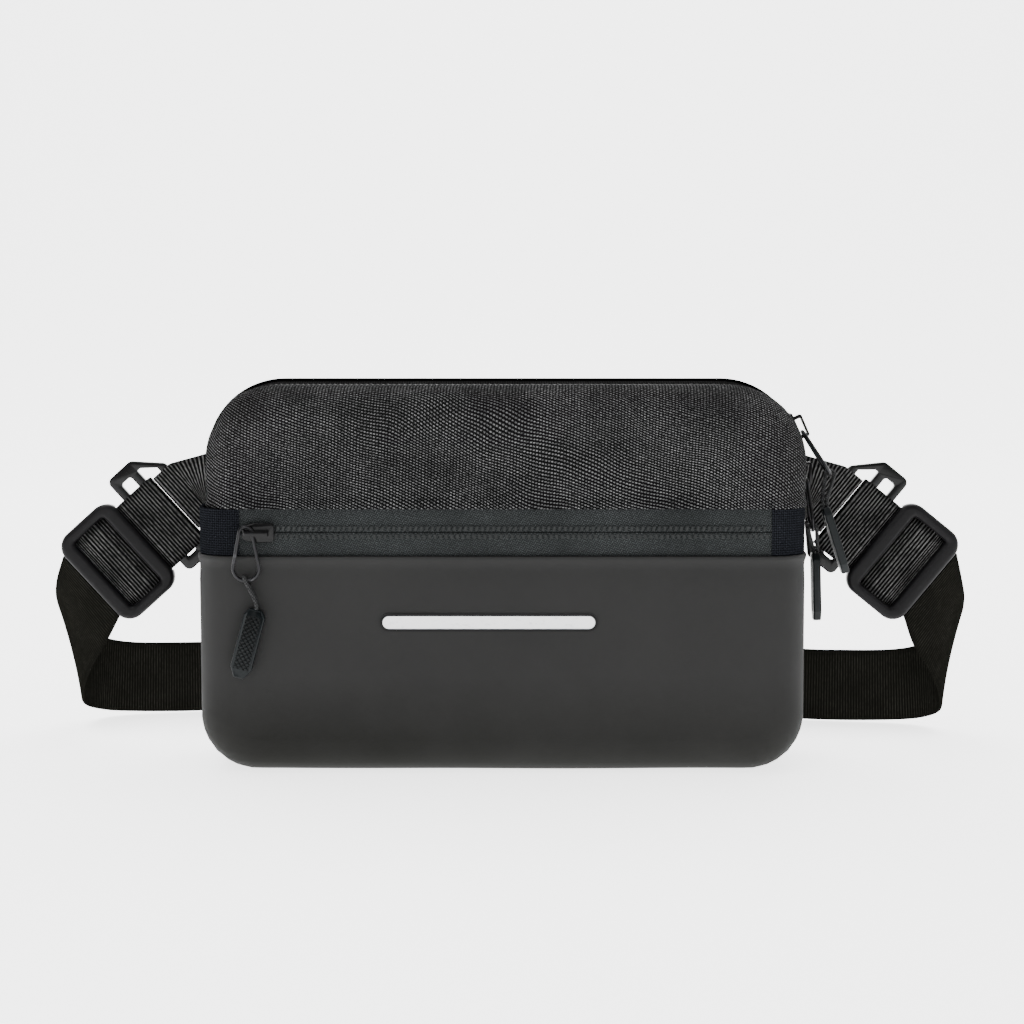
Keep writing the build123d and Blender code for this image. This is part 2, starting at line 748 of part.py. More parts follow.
# ---------------------------------------------------------------- the list of pieces
def all_parts():
    parts = {
        "front_upper_panel": front_upper_panel(),
        "front_lower_panel": front_lower_panel(),
        "base_gusset": base_gusset(),
        "rear_gusset": rear_gusset(),
        "back_panel": back_panel(),
        "back_pad_lower": back_pad(45.0, 56.0),
        "back_pad_upper": back_pad(118.0, 62.0),
        "rear_piping": rear_piping(),
        "reflective_strip": reflective_strip(),
        "reflective_strip_frame": strip_frame(),
        "front_zip_tape_upper": front_tape(POCKET_MIDDLE + 0.1, POCKET_TOP),
        "front_zip_tape_lower": front_tape(POCKET_BOTTOM, POCKET_MIDDLE - 0.1),
        "front_zip_chain": front_chain(),
        "front_zip_tab_left": front_end_tab((-BODY_WIDTH, POCKET_LEFT)),
        "front_zip_tab_right": front_end_tab((POCKET_RIGHT, BODY_WIDTH)),
        "front_pocket_lining": front_pocket_lining(),
        "pocket_divider": pocket_divider(),
        "main_zip_tape_front": main_tape(TRACK_FRONT, TRACK_MIDDLE - 0.1),
        "main_zip_tape_rear": main_tape(TRACK_MIDDLE + 0.1, TRACK_BACK),
        "main_zip_chain": main_chain(),
        "main_lining": main_lining(),
        "back_board": back_board(),
        "base_board": base_board(),
    }
    for name, made in (("front", front_pull()), ("upper", upper_pull()), ("lower", lower_pull())):
        for piece, shape in zip(("slider", "bail", "pull_cord", "grip"), made):
            parts[f"{name}_{piece}"] = shape
    for side in ("left", "right"):
        parts[f"{side}_adjuster"] = placed(side, adjuster())
        parts[f"{side}_ring"] = placed(side, ring())
        parts[f"{side}_belt_loop"] = placed(side, upper_webbing())
        parts[f"{side}_belt"] = belt(side)
        parts[f"{side}_wing"] = wing(side)
    buckle_place = Pos(0, BUCKLE_Y, BUCKLE_Z)
    parts["buckle_housing"] = buckle_place * buckle_housing()
    parts["buckle_plug"] = buckle_place * buckle_plug()
    parts["buckle_prong_upper"] = buckle_place * prong(1)
    parts["buckle_prong_lower"] = buckle_place * prong(-1)
    return parts


os.makedirs(OUT, exist_ok=True)
for node, shape in all_parts().items():
    export_step(shape, f"{OUT}/{node}.step")
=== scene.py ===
"""Looks for the waist bag: its cloth shell, zips, pulls, belt hardware, webbing and buckle."""

import math

import bpy
import numpy as np
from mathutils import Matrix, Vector


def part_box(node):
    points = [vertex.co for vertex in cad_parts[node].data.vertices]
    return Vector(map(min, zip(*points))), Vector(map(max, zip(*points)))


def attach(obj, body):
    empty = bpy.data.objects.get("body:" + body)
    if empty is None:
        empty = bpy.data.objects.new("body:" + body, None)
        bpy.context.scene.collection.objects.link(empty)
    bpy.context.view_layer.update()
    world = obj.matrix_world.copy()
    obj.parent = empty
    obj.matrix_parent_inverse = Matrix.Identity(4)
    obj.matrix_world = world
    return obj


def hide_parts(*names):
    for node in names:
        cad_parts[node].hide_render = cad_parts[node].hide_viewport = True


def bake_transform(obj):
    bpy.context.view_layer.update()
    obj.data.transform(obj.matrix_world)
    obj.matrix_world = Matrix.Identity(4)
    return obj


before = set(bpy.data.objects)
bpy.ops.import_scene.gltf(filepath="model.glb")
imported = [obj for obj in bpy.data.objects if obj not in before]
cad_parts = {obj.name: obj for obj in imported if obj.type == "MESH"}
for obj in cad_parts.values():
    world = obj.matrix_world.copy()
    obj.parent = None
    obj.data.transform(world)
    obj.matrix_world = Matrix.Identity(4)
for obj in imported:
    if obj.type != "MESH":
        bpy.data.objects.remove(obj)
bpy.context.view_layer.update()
MM = 0.001

# ------------------------------------------------------------------ sizes of the bag, in metres
HALF_WIDTH = 133.5 * MM
HEIGHT = 170 * MM
TOP_CORNER = 34 * MM
BASE_CORNER = 25 * MM
FRONT = -35 * MM
BACK = 35 * MM
FRONT_ROLL = 16 * MM
BACK_ROLL = 9 * MM
TRACK_FRONT = -6 * MM
TRACK_MIDDLE = 4 * MM
TRACK_BACK = 14 * MM
TRACK_END = 92 * MM
PANEL_SEAM = 22 * MM
SEAM_DIP = 0.9 * MM
POCKET_TOP = 117 * MM
POCKET_BOTTOM = 96.6 * MM
POCKET_MIDDLE = (POCKET_TOP + POCKET_BOTTOM) / 2
POCKET_LEFT = -114 * MM
POCKET_RIGHT = 117 * MM
BAR_X, BAR_Z = -5.75 * MM, 67.5 * MM
TAPE_WALL = 0.6 * MM
COIL_DEPTH = 0.95 * MM
TOOTH_STEP = 1.2 * MM

BELT_ANGLE = {"left": math.radians(42), "right": math.radians(39)}
BELT_PLANE = 28 * MM
ADJUSTER_HEIGHT = 86.7 * MM
REACH = {"left": 178 * MM, "right": 184.9 * MM}
RUN_SHIFT = {"left": -8.0, "right": -2.2}
WEBBING = 38 * MM
WEB = 1.5 * MM
BELT_SPLIT = 157 * MM

SAME_PLACE = 0.02 * MM

CAMERA_PLACE = (0.0043, -0.935, 0.205)
CAMERA_DIP = math.radians(5.66)
LENS = 73.5
PAPER_WIDTH, PAPER_DEPTH, WALL_HEIGHT = 24, 15, 3.5
PAPER_GLOW = 2.6


# ------------------------------------------------------------------ picking and editing
def link(name, data):
    """A new object in the scene."""
    made = bpy.data.objects.new(name, data)
    bpy.context.scene.collection.objects.link(made)
    return made


def clear():
    if bpy.context.object and bpy.context.object.mode != "OBJECT":
        bpy.ops.object.mode_set(mode="OBJECT")
    bpy.ops.object.select_all(action="DESELECT")


def hold(piece):
    """Makes a piece the only selected and the active one."""
    clear()
    piece.select_set(True)
    bpy.context.view_layer.objects.active = piece


def edit_all(piece, *operations, **settings):
    """Runs operations on the whole mesh of a piece; the settings go to the last."""
    hold(piece)
    bpy.ops.object.mode_set(mode="EDIT")
    bpy.ops.mesh.select_all(action="SELECT")
    for operation in operations[:-1]:
        operation()
    operations[-1](**settings)
    bpy.ops.object.mode_set(mode="OBJECT")


def merge_doubles():
    bpy.ops.mesh.remove_doubles(threshold=SAME_PLACE)


def settle(piece):
    """Puts the piece's place and size into its mesh."""
    hold(piece)
    bpy.ops.object.transform_apply(location=True, rotation=True, scale=True)


# ------------------------------------------------------------------ camera, floor and light
def place_camera():
    data = bpy.data.cameras.new("camera")
    camera = link("camera", data)
    camera.location = CAMERA_PLACE
    camera.rotation_euler = (math.pi / 2 - CAMERA_DIP, 0, 0)
    data.sensor_width = 36
    data.lens = LENS
    data.dof.use_dof = False
    bpy.context.scene.camera = camera


def soft_light(name, place, aim, size, power):
    data = bpy.data.lights.new(name, "AREA")
    data.shape = "RECTANGLE"
    data.size, data.size_y = size
    data.energy = power
    light = link(name, data)
    light.location = place
    light.rotation_euler = (Vector(aim) - Vector(place)).to_track_quat("-Z", "Y").to_euler()


def make_stage():
    """A seamless sheet of pale paper: floor, a wide bend and a wall behind."""
    clear()
    bpy.ops.mesh.primitive_plane_add(size=1, location=(0, -5, -0.0003))
    paper = bpy.context.object
    bpy.ops.object.mode_set(mode="EDIT")
    bpy.ops.mesh.select_all(action="SELECT")
    bpy.ops.transform.resize(value=(PAPER_WIDTH, PAPER_DEPTH, 1))
    bpy.ops.mesh.select_all(action="DESELECT")
    bpy.ops.object.mode_set(mode="OBJECT")
    for edge in paper.data.edges:
        edge.select = all(paper.data.vertices[i].co.y > PAPER_DEPTH / 2 - 0.5 for i in edge.vertices)
    bpy.ops.object.mode_set(mode="EDIT")
    bpy.ops.mesh.extrude_region_move(TRANSFORM_OT_translate={"value": (0, 0, WALL_HEIGHT)})
    bpy.ops.mesh.select_all(action="SELECT")
    bpy.ops.object.mode_set(mode="OBJECT")
    bend = paper.modifiers.new("bend", "BEVEL")
    bend.width = 1.2
    bend.segments = 16
    bend.limit_method = "ANGLE"
    bpy.ops.object.modifier_apply(modifier="bend")
    bpy.ops.object.shade_smooth()
    paper.name = "paper"
    material = bpy.data.materials.new("pale_paper")
    material.use_nodes = True
    shader = material.node_tree.nodes["Principled BSDF"]
    shader.inputs["Base Color"].default_value = (0.82, 0.82, 0.82, 1)
    shader.inputs["Roughness"].default_value = 0.95
    shader.inputs["Specular IOR Level"].default_value = 0.0
    shader.inputs["Emission Color"].default_value = (1, 1, 1, 1)
    shader.inputs["Emission Strength"].default_value = PAPER_GLOW
    paper.data.materials.append(material)
    world = bpy.data.worlds.new("studio")
    world.use_nodes = True
    glow = world.node_tree.nodes["Background"]
    glow.inputs["Color"].default_value = (0.95, 0.955, 0.96, 1)
    glow.inputs["Strength"].default_value = 0.25
    bpy.context.scene.world = world
    soft_light("sky", (0, 0.9, 2.1), (0, 0.6, 0), (2.6, 2.0), 85)
    soft_light("key", (-0.7, -0.7, 1.5), (0, 0, 0.1), (1.0, 0.7), 12)
    soft_light("fill", (1.2, -0.9, 0.9), (0.1, 0, 0.08), (0.6, 0.6), 5)
    soft_light("glint", (-0.25, -0.85, 0.55), (0, 0, 0.1), (0.5, 0.08), 2.2)


place_camera()
make_stage()


# ------------------------------------------------------------------ pull cords
WIRE = 1.6
CORD = 1.8
GRIP_KNEE = 2.4
GRIPS = {
    "front": {"top": (-106.4, -38.3, 73.8), "tilt": 15.0, "wire": (-110.7, -38.3, 86.2), "axis": (1, 0, 0)},
    "upper": {"top": (144.7, -2.0, 114.7), "tilt": -18.0, "wire": (147.581, 4.0, 128.714), "axis": (0, 1, 0)},
    "lower": {"top": (142.2, 9.5, 93.0), "tilt": -2.0, "wire": (140.057, 4.0, 103.728), "axis": (0, 1, 0)},
}


def grip_up(zip_name):
    """The way the grip points up, leaning from upright by its tilt towards +X."""
    tilt = math.radians(GRIPS[zip_name]["tilt"])
    return Vector((math.sin(tilt), 0, math.cos(tilt)))


def cord_route(zip_name):
    """A bight from the grip's top, over the wire loop's lowest point and back down."""
    facts = GRIPS[zip_name]
    top, wire, axis = (Vector(facts[key]) for key in ("top", "wire", "axis"))
    up = grip_up(zip_name)
    rise = (wire - top).normalized()
    out = WIRE / 2 + CORD / 2 + 0.3
    wide = rise.cross(axis).normalized() * out
    close = up.cross(axis).normalized() * (CORD / 2 + 0.06)
    knee = top + up * GRIP_KNEE
    crest = wire + rise * out
    rising = [top - close, knee - close, wire - wide, crest - wide]
    falling = [crest + wide, wire + wide, knee + close, top + close]
    return [point * MM for point in rising + falling]


def pull_cord(zip_name):
    """The braided cord of one pull, from its curve. WIRE, CORD and GRIP_KNEE are in millimetres."""
    points = cord_route(zip_name)
    curve = bpy.data.curves.new(f"{zip_name}_pull_braid", "CURVE")
    curve.dimensions = "3D"
    spline = curve.splines.new("NURBS")
    spline.points.add(len(points) - 1)
    for seat, point in zip(spline.points, points):
        seat.co = (*point, 1)
    spline.order_u = 3
    spline.use_endpoint_u = True
    spline.resolution_u = 12
    curve.bevel_depth = CORD / 2 * MM
    curve.bevel_resolution = 4
    curve.use_fill_caps = True
    cord = link(f"{zip_name}_pull_braid", curve)
    hold(cord)
    bpy.ops.object.convert(target="MESH")
    edit_all(cord, merge_doubles, bpy.ops.mesh.normals_make_consistent, inside=False)
    bpy.ops.object.shade_smooth_by_angle(angle=math.radians(60))
    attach(cord, f"{zip_name}_pull")
    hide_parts(f"{zip_name}_pull_cord")
    return cord


CORDS = [pull_cord(zip_name) for zip_name in GRIPS]


# ------------------------------------------------------------------ material building blocks
class Recipe:
    """A node material with short ways to add and join nodes."""

    def __init__(self, name, colour, roughness, metallic=0.0, coat=0.0, specular=0.5):
        self.material = bpy.data.materials.new(name)
        self.material.use_nodes = True
        self.tree = self.material.node_tree
        self.shader = self.tree.nodes["Principled BSDF"]
        self.shader.inputs["Base Color"].default_value = (*colour, 1)
        self.shader.inputs["Roughness"].default_value = roughness
        self.shader.inputs["Metallic"].default_value = metallic
        self.shader.inputs["Coat Weight"].default_value = coat
        self.shader.inputs["Coat Roughness"].default_value = 0.15
        self.shader.inputs["Specular IOR Level"].default_value = specular

    def put(self, kind, **inputs):
        node = self.tree.nodes.new(kind)
        for key, value in inputs.items():
            self.feed(node.inputs[key.replace("_", " ")], value)
        return node

    def feed(self, socket, value):
        if isinstance(value, bpy.types.NodeSocket):
            self.tree.links.new(value, socket)
        else:
            socket.default_value = value

    def maths(self, operation, first, second=None):
        node = self.tree.nodes.new("ShaderNodeMath")
        node.operation = operation
        for socket, value in zip(node.inputs, (first, second)):
            if value is not None:
                self.feed(socket, value)
        return node.outputs[0]

    def place(self, uv=None, scale=(1, 1, 1), turn=0.0):
        if uv:
            source = self.tree.nodes.new("ShaderNodeUVMap")
            source.uv_map = uv
            out = source.outputs["UV"]
        else:
            out = self.tree.nodes.new("ShaderNodeTexCoord").outputs["Object"]
        mapping = self.put("ShaderNodeMapping", Vector=out)
        mapping.inputs["Scale"].default_value = scale
        mapping.inputs["Rotation"].default_value = (0, 0, turn)
        return mapping.outputs[0]

    def noise(self, vector, scale, detail=3.0, roughness=0.6):
        node = self.put("ShaderNodeTexNoise", Vector=vector, Scale=scale, Detail=detail, Roughness=roughness)
        return node.outputs["Fac"]

    def stretch(self, value, low, high, to_low=0.0, to_high=1.0):
        node = self.put("ShaderNodeMapRange", Value=value)
        for key, number in zip(("From Min", "From Max", "To Min", "To Max"), (low, high, to_low, to_high)):
            node.inputs[key].default_value = number
        return node.outputs["Result"]

    def tint(self, factor, first, second):
        node = self.tree.nodes.new("ShaderNodeMix")
        node.data_type = "RGBA"
        self.feed(node.inputs["Factor"], factor)
        self.feed(node.inputs["A"], (*first, 1) if isinstance(first, tuple) else first)
        self.feed(node.inputs["B"], (*second, 1) if isinstance(second, tuple) else second)
        return node.outputs["Result"]

    def colour(self, value):
        self.feed(self.shader.inputs["Base Color"], value)

    def rough(self, value):
        self.feed(self.shader.inputs["Roughness"], value)

    def bump(self, height, depth, strength=1.0, under=None):
        node = self.put("ShaderNodeBump", Height=height)
        node.inputs["Distance"].default_value = depth
        node.inputs["Strength"].default_value = strength
        if under:
            self.feed(node.inputs["Normal"], under)
        return node.outputs["Normal"]

    def normal(self, value):
        self.feed(self.shader.inputs["Normal"], value)

    def parts(self, vector):
        node = self.put("ShaderNodeSeparateXYZ", Vector=vector)
        return node.outputs

    def ridges(self, value):
        """Round ridges one unit apart."""
        return self.maths("ABSOLUTE", self.maths("SINE", self.maths("MULTIPLY", value, math.pi)))

    def diamonds(self, u, v, turn):
        """Two families of slanting ridges, multiplied; turn is radians for each unit."""
        rising = self.maths("SINE", self.maths("MULTIPLY", self.maths("ADD", u, v), turn))
        falling = self.maths("SINE", self.maths("MULTIPLY", self.maths("SUBTRACT", u, v), turn))
        return self.maths("ABSOLUTE", self.maths("MULTIPLY", rising, falling))

    def threads(self, vector, step):
        """Over-and-under thread heights: step 1 is a plain weave and 2 a twill."""
        u, v = self.parts(vector)[:2]
        across, along = self.ridges(u), self.ridges(v)
        cell = self.maths("ADD", self.maths("FLOOR", u), self.maths("FLOOR", v))
        over = self.maths("LESS_THAN", self.maths("FLOORED_MODULO", cell, 2.0 * step), float(step))
        under = self.maths("SUBTRACT", 1.0, over)
        return self.maths("ADD", self.maths("MULTIPLY", across, over), self.maths("MULTIPLY", along, under))


def coarse_weave():
    """Coarse cloth of light threads, broken where dark ones cross, running aslant and wandering."""
    r = Recipe("coarse_weave", (0.02, 0.02, 0.02), 0.62, specular=0.0)
    flat = r.place("cloth")
    spread = r.noise(flat, 13.0, 1.5)
    wave = r.maths("MULTIPLY", r.maths("SUBTRACT", spread, 0.5), 0.034)
    shift = r.put("ShaderNodeCombineXYZ", X=0.0, Y=wave)
    bend = r.tree.nodes.new("ShaderNodeVectorMath")
    bend.operation = "ADD"
    r.feed(bend.inputs[0], flat)
    r.feed(bend.inputs[1], shift.outputs[0])
    cloth = r.put("ShaderNodeMapping", Vector=bend.outputs[0])
    cloth.inputs["Scale"].default_value = (660, 850, 1)
    cloth.inputs["Rotation"].default_value = (0, 0, math.radians(28))
    u, v = r.parts(cloth.outputs[0])[:2]
    thread = r.maths("POWER", r.ridges(v), 1.6)
    row = r.maths("MULTIPLY", r.maths("FLOOR", v), 0.5)
    crossing = r.ridges(r.maths("ADD", u, row))
    height = r.maths("MULTIPLY", thread, r.stretch(crossing, 0.1, 0.6))
    fray = r.noise(flat, 1100.0, 2.0)
    patch = r.noise(flat, 34.0, 3.0)
    lit = r.maths("MULTIPLY", r.maths("POWER", height, 2.2), r.stretch(fray, 0.34, 0.66, 0.12, 1.0))
    lit = r.maths("MULTIPLY", lit, r.stretch(patch, 0.32, 0.68, 0.5, 1.0))
    # Painted light: the dark threads are painted lighter towards the top of the panel, where more light
    # falls.
    low = r.stretch(r.parts(r.place())[2], 0.115, 0.168, 0.0, 1.0)
    dark = r.tint(low, (0.0012, 0.0012, 0.0013), (0.0032, 0.0032, 0.0032))
    r.colour(r.tint(lit, dark, (0.235, 0.235, 0.237)))
    r.rough(r.stretch(height, 0.0, 1.0, 0.9, 0.55))
    r.normal(r.bump(height, 0.0006, 0.9))
    return r.material


def coated_cloth():
    """Matte coated cloth, smooth with a faint grain; painted shade makes it darker towards the bottom, with a
    slight olive cast there.
    """
    r = Recipe("coated_cloth", (0.02, 0.02, 0.02), 0.7, specular=0.12)
    place = r.place()
    grain = r.noise(place, 2600.0, 2.0)
    cloud = r.noise(place, 14.0, 3.0)
    height = r.parts(place)[2]
    # Painted shade: the cloth is painted darker, and slightly olive, over the lowest 44 mm of the bag.
    low = r.stretch(height, 0.004, 0.044)
    base = r.tint(low, (0.0030, 0.0032, 0.0020), (0.0132, 0.0132, 0.0130))
    r.colour(r.tint(r.stretch(cloud, 0.35, 0.7, 0.0, 0.35), base, (0.024, 0.024, 0.0235)))
    r.rough(r.stretch(cloud, 0.3, 0.7, 0.62, 0.75))
    soft = r.bump(cloud, 0.0009, 0.35)
    r.normal(r.bump(grain, 0.00006, 0.6, soft))
    return r.material


def plain_cloth(name, colour, light, scale, depth=0.00035, turn=0.0, step=1, fleck=0.5):
    """Woven cloth laid on the piece's own map."""
    r = Recipe(name, colour, 0.8, specular=0.0)
    height = r.threads(r.place("cloth", (scale, scale, 1), turn), step)
    fray = r.noise(r.place("cloth"), 1200.0, 2.0)
    patch = r.noise(r.place("cloth"), 30.0, 3.0)
    lit = r.maths("MULTIPLY", r.maths("POWER", height, 2.0), r.stretch(fray, 0.35, 0.7, 1 - fleck, 1.0))
    lit = r.maths("MULTIPLY", lit, r.stretch(patch, 0.3, 0.7, 0.5, 1.0))
    r.colour(r.tint(lit, colour, light))
    r.rough(r.stretch(height, 0.0, 1.0, 0.92, 0.68))
    r.normal(r.bump(height, depth, 0.9))
    return r.material


def ribbed_webbing(name, colour, light, pitch, depth):
    """Webbing with ribs across its width; the map runs along the webbing in metres."""
    r = Recipe(name, colour, 0.7, specular=0.0)
    u, v = r.parts(r.place("cloth"))[:2]
    wander = r.noise(r.place("cloth", (1, 0.25, 1)), 420.0, 2.0)
    along = r.maths("ADD", r.maths("MULTIPLY", u, 1 / pitch), r.maths("MULTIPLY", wander, 0.14))
    rib = r.ridges(along)
    ends = r.ridges(r.maths("MULTIPLY", v, 2 / (1.1 * MM)))
    warp = r.maths("MULTIPLY", ends, 0.12)
    height = r.maths("ADD", r.maths("MULTIPLY", rib, 0.7), warp)
    broken = r.noise(r.place("cloth", (1, 0.3, 1)), 1500.0, 2.0)
    lit = r.maths("MULTIPLY", r.maths("POWER", rib, 5.0), r.stretch(broken, 0.34, 0.60, 0.3, 1.0))
    patch = r.noise(r.place("cloth"), 60.0, 3.0)
    lit = r.maths("MULTIPLY", lit, r.stretch(patch, 0.32, 0.68, 0.4, 1.0))
    selvedge = r.stretch(r.maths("ABSOLUTE", v), 16.5 * MM, 18.0 * MM)
    base = r.tint(lit, colour, light)
    r.colour(r.tint(r.maths("MULTIPLY", selvedge, 0.5), base, colour))
    r.rough(r.stretch(rib, 0.0, 1.0, 0.9, 0.55))
    r.normal(r.bump(height, depth, 1.0))
    return r.material


def moulded(name, colour, scuff_and_highlight_colour, roughness, grain=900.0, depth=0.00003, coat=0.0, metallic=0.0, scuff_and_highlight=0.5,
            specular=0.1):
    """Moulded plastic or enamel: fine grain, faint scuffs and a painted highlight on convex edges."""
    r = Recipe(name, colour, roughness, metallic=metallic, coat=coat, specular=specular)
    place = r.place()
    fine = r.noise(place, grain, 2.0)
    scuff = r.noise(place, 130.0, 5.0, 0.75)
    corner = r.tree.nodes.new("ShaderNodeNewGeometry").outputs["Pointiness"]
    # Painted highlight: convex edges, found by pointiness, are painted in the lighter colour; the noise marks
    # above are real scuffs.
    wear_and_edge_highlight = r.stretch(corner, 0.51, 0.60)
    scuffs_and_edge_highlight = r.maths("MULTIPLY", r.stretch(scuff, 0.55, 0.75), scuff_and_highlight)
    scuffs_and_edge_highlight = r.maths("MINIMUM", r.maths("ADD", scuffs_and_edge_highlight, r.maths("MULTIPLY", wear_and_edge_highlight, scuff_and_highlight)), 1.0)
    r.colour(r.tint(scuffs_and_edge_highlight, colour, scuff_and_highlight_colour))
    r.rough(r.maths("ADD", roughness - 0.08, r.maths("MULTIPLY", scuff, 0.2)))
    r.normal(r.bump(fine, depth, 0.7))
    return r.material


def braided_cord():
    """Two families of strands crossing aslant round the cord."""
    r = Recipe("braided_cord", (0.004, 0.004, 0.004), 0.75, specular=0.2)
    x, y, z = r.parts(r.place(scale=(2100, 2100, 2100)))[:3]
    height = r.diamonds(r.maths("ADD", x, y), z, 1.0)
    r.colour(r.tint(height, (0.0015, 0.0015, 0.0015), (0.035, 0.036, 0.037)))
    r.normal(r.bump(height, 0.0003, 0.9))
    return r.material


def knurled_grip():
    """Rubber with a field of raised diamonds inside a smooth border; the map is the grip's own."""
    r = Recipe("knurled_grip", (0.003, 0.004, 0.0045), 0.45, specular=0.15)
    u, v = r.parts(r.place("cloth"))[:2]
    diamond = r.maths("POWER", r.diamonds(u, v, math.pi / (2.3 * MM)), 0.6)
    inside = r.maths("LESS_THAN", r.maths("ABSOLUTE", u), 3.3 * MM)
    inside = r.maths("MULTIPLY", inside, r.maths("LESS_THAN", v, -3.2 * MM))
    inside = r.maths("MULTIPLY", inside, r.maths("GREATER_THAN", v, -27.0 * MM))
    height = r.maths("ADD", r.maths("MULTIPLY", diamond, inside), r.maths("SUBTRACT", 1.0, inside))
    grain = r.noise(r.place(), 1500.0, 2.0)
    base = r.tint(height, (0.0005, 0.0007, 0.0008), (0.0022, 0.0036, 0.0041))
    r.colour(r.tint(r.stretch(grain, 0.5, 0.8, 0.0, 0.4), base, (0.009, 0.012, 0.013)))
    r.rough(r.stretch(height, 0.0, 1.0, 0.7, 0.42))
    r.normal(r.bump(height, 0.0006, 1.0))
    return r.material


def reflective_film():
    """White film of tiny cells with faint worn marks."""
    r = Recipe("reflective_film", (0.83, 0.83, 0.84), 0.42, coat=0.15)
    place = r.place()
    cells = r.put("ShaderNodeTexVoronoi", Vector=place, Scale=1100.0).outputs["Distance"]
    marks = r.noise(r.place(scale=(1, 1, 2.2)), 210.0, 6.0, 0.8)
    wear_and_edge_highlight = r.stretch(marks, 0.56, 0.68, 0.0, 0.55)
    r.colour(r.tint(wear_and_edge_highlight, (0.87, 0.87, 0.88), (0.50, 0.50, 0.52)))
    r.rough(r.stretch(marks, 0.4, 0.7, 0.35, 0.6))
    r.normal(r.bump(cells, 0.00008, 0.5))
    return r.material


def air_mesh():
    """Spacer mesh with open round cells."""
    r = Recipe("air_mesh", (0.01, 0.01, 0.01), 0.9, specular=0.0)
    x, _, z = r.parts(r.place())
    hole = r.stretch(r.diamonds(x, z, math.pi / (3.4 * MM)), 0.72, 0.5)
    fibre = r.noise(r.place(), 2400.0, 2.0)
    base = r.tint(fibre, (0.003, 0.003, 0.003), (0.013, 0.013, 0.013))
    r.colour(r.tint(hole, (0.003, 0.003, 0.003), base))
    r.normal(r.bump(hole, 0.0009, 0.9))
    return r.material


MATERIALS = {
    "weave": coarse_weave(),
    "coated": coated_cloth(),
    "side": plain_cloth("side_cloth", (0.002, 0.002, 0.002), (0.03, 0.03, 0.03), 900),
    "back": plain_cloth("back_cloth", (0.003, 0.003, 0.003), (0.03, 0.03, 0.03), 800),
    "bind": plain_cloth("binding_tape", (0.002, 0.002, 0.002), (0.02, 0.02, 0.02), 1300),
    "tape": plain_cloth("zip_tape", (0.0095, 0.0105, 0.0105), (0.060, 0.065, 0.066), 1150, 0.0002,
                        math.radians(27), 2, 0.7),
    "tab": plain_cloth("end_tab_cloth", (0.0015, 0.0016, 0.002), (0.022, 0.024, 0.029), 950, 0.0004),
    "lining": plain_cloth("lining_cloth", (0.05, 0.05, 0.05), (0.14, 0.14, 0.14), 1400, 0.0001),
    "mesh": air_mesh(),
    "webbing": ribbed_webbing("ribbed_webbing", (0.0012, 0.0012, 0.0012), (0.13, 0.13, 0.128), 1.5 * MM,
                              0.0007),
    "belt": ribbed_webbing("belt_webbing", (0.0034, 0.0034, 0.0028), (0.019, 0.0185, 0.0155), 1.3 * MM,
                           0.00022),
    "coil": moulded("zip_coil", (0.0065, 0.0072, 0.0070), (0.030, 0.032, 0.032), 0.5),
    "enamel": moulded("black_enamel", (0.0015, 0.0015, 0.0016), (0.012, 0.012, 0.0125), 0.2, coat=0.1,
                      scuff_and_highlight=0.2),
    "wire": moulded("gunmetal_wire", (0.02, 0.02, 0.021), (0.10, 0.10, 0.104), 0.28, metallic=0.85,
                    scuff_and_highlight=0.5),
    "ring": moulded("gloss_ring", (0.0012, 0.0012, 0.0012), (0.010, 0.010, 0.0105), 0.2, coat=0.15, scuff_and_highlight=0.2),
    "adjuster": moulded("satin_adjuster", (0.0042, 0.0040, 0.0044), (0.016, 0.015, 0.017), 0.42,
                        depth=0.00005, scuff_and_highlight=0.45),
    "grip": knurled_grip(),
    "buckle": moulded("buckle_acetal", (0.002, 0.002, 0.002), (0.009, 0.009, 0.009), 0.42, scuff_and_highlight=0.3),
    "foam": moulded("foam_sheet", (0.05, 0.05, 0.05), (0.1, 0.1, 0.1), 0.9, 400.0, 0.0002),
    "edge": moulded("sealed_edge", (0.0035, 0.0035, 0.0035), (0.02, 0.02, 0.02), 0.5, scuff_and_highlight=0.2),
    "cord": braided_cord(),
    "film": reflective_film(),
}


# ------------------------------------------------------------------ making and finishing pieces
def paint(piece, material):
    piece.data.materials.clear()
    piece.data.materials.append(MATERIALS[material])


def finish_piece(piece, name, material, body="bag", stands_for=(), angle=35):
    piece.name = name
    piece.data.name = name
    paint(piece, material)
    hold(piece)
    bpy.ops.object.shade_smooth_by_angle(angle=math.radians(angle))
    if body:
        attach(piece, body)
    if stands_for:
        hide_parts(*stands_for)
    return piece


def apply_all(piece):
    hold(piece)
    for modifier in list(piece.modifiers):
        bpy.ops.object.modifier_apply(modifier=modifier.name)


def thicken(piece, thickness, offset=-1.0):
    wall = piece.modifiers.new("wall", "SOLIDIFY")
    wall.thickness = thickness
    wall.offset = offset
    wall.use_even_offset = False
    wall.use_rim = True


def round_edges(piece, width, steps=2, angle=50):
    bevel = piece.modifiers.new("soft_edge", "BEVEL")
    bevel.width = width
    bevel.segments = steps
    bevel.limit_method = "ANGLE"
    bevel.angle_limit = math.radians(angle)
    bevel.harden_normals = False


def points_of(piece):
    co = np.zeros(len(piece.data.vertices) * 3, np.float32)
    piece.data.vertices.foreach_get("co", co)
    return co.reshape(-1, 3).astype(float)


def move_points(piece, co):
    piece.data.vertices.foreach_set("co", co.astype(np.float32).ravel())
    piece.data.update()


def lay_map(piece, uv):
    """Writes a map named cloth from one coordinate pair per vertex."""
    layer = piece.data.uv_layers.get("cloth") or piece.data.uv_layers.new(name="cloth")
    piece.data.uv_layers.active = layer
    loops = np.zeros(len(piece.data.loops), np.int32)
    piece.data.loops.foreach_get("vertex_index", loops)
    layer.data.foreach_set("uv", uv[loops].astype(np.float32).ravel())


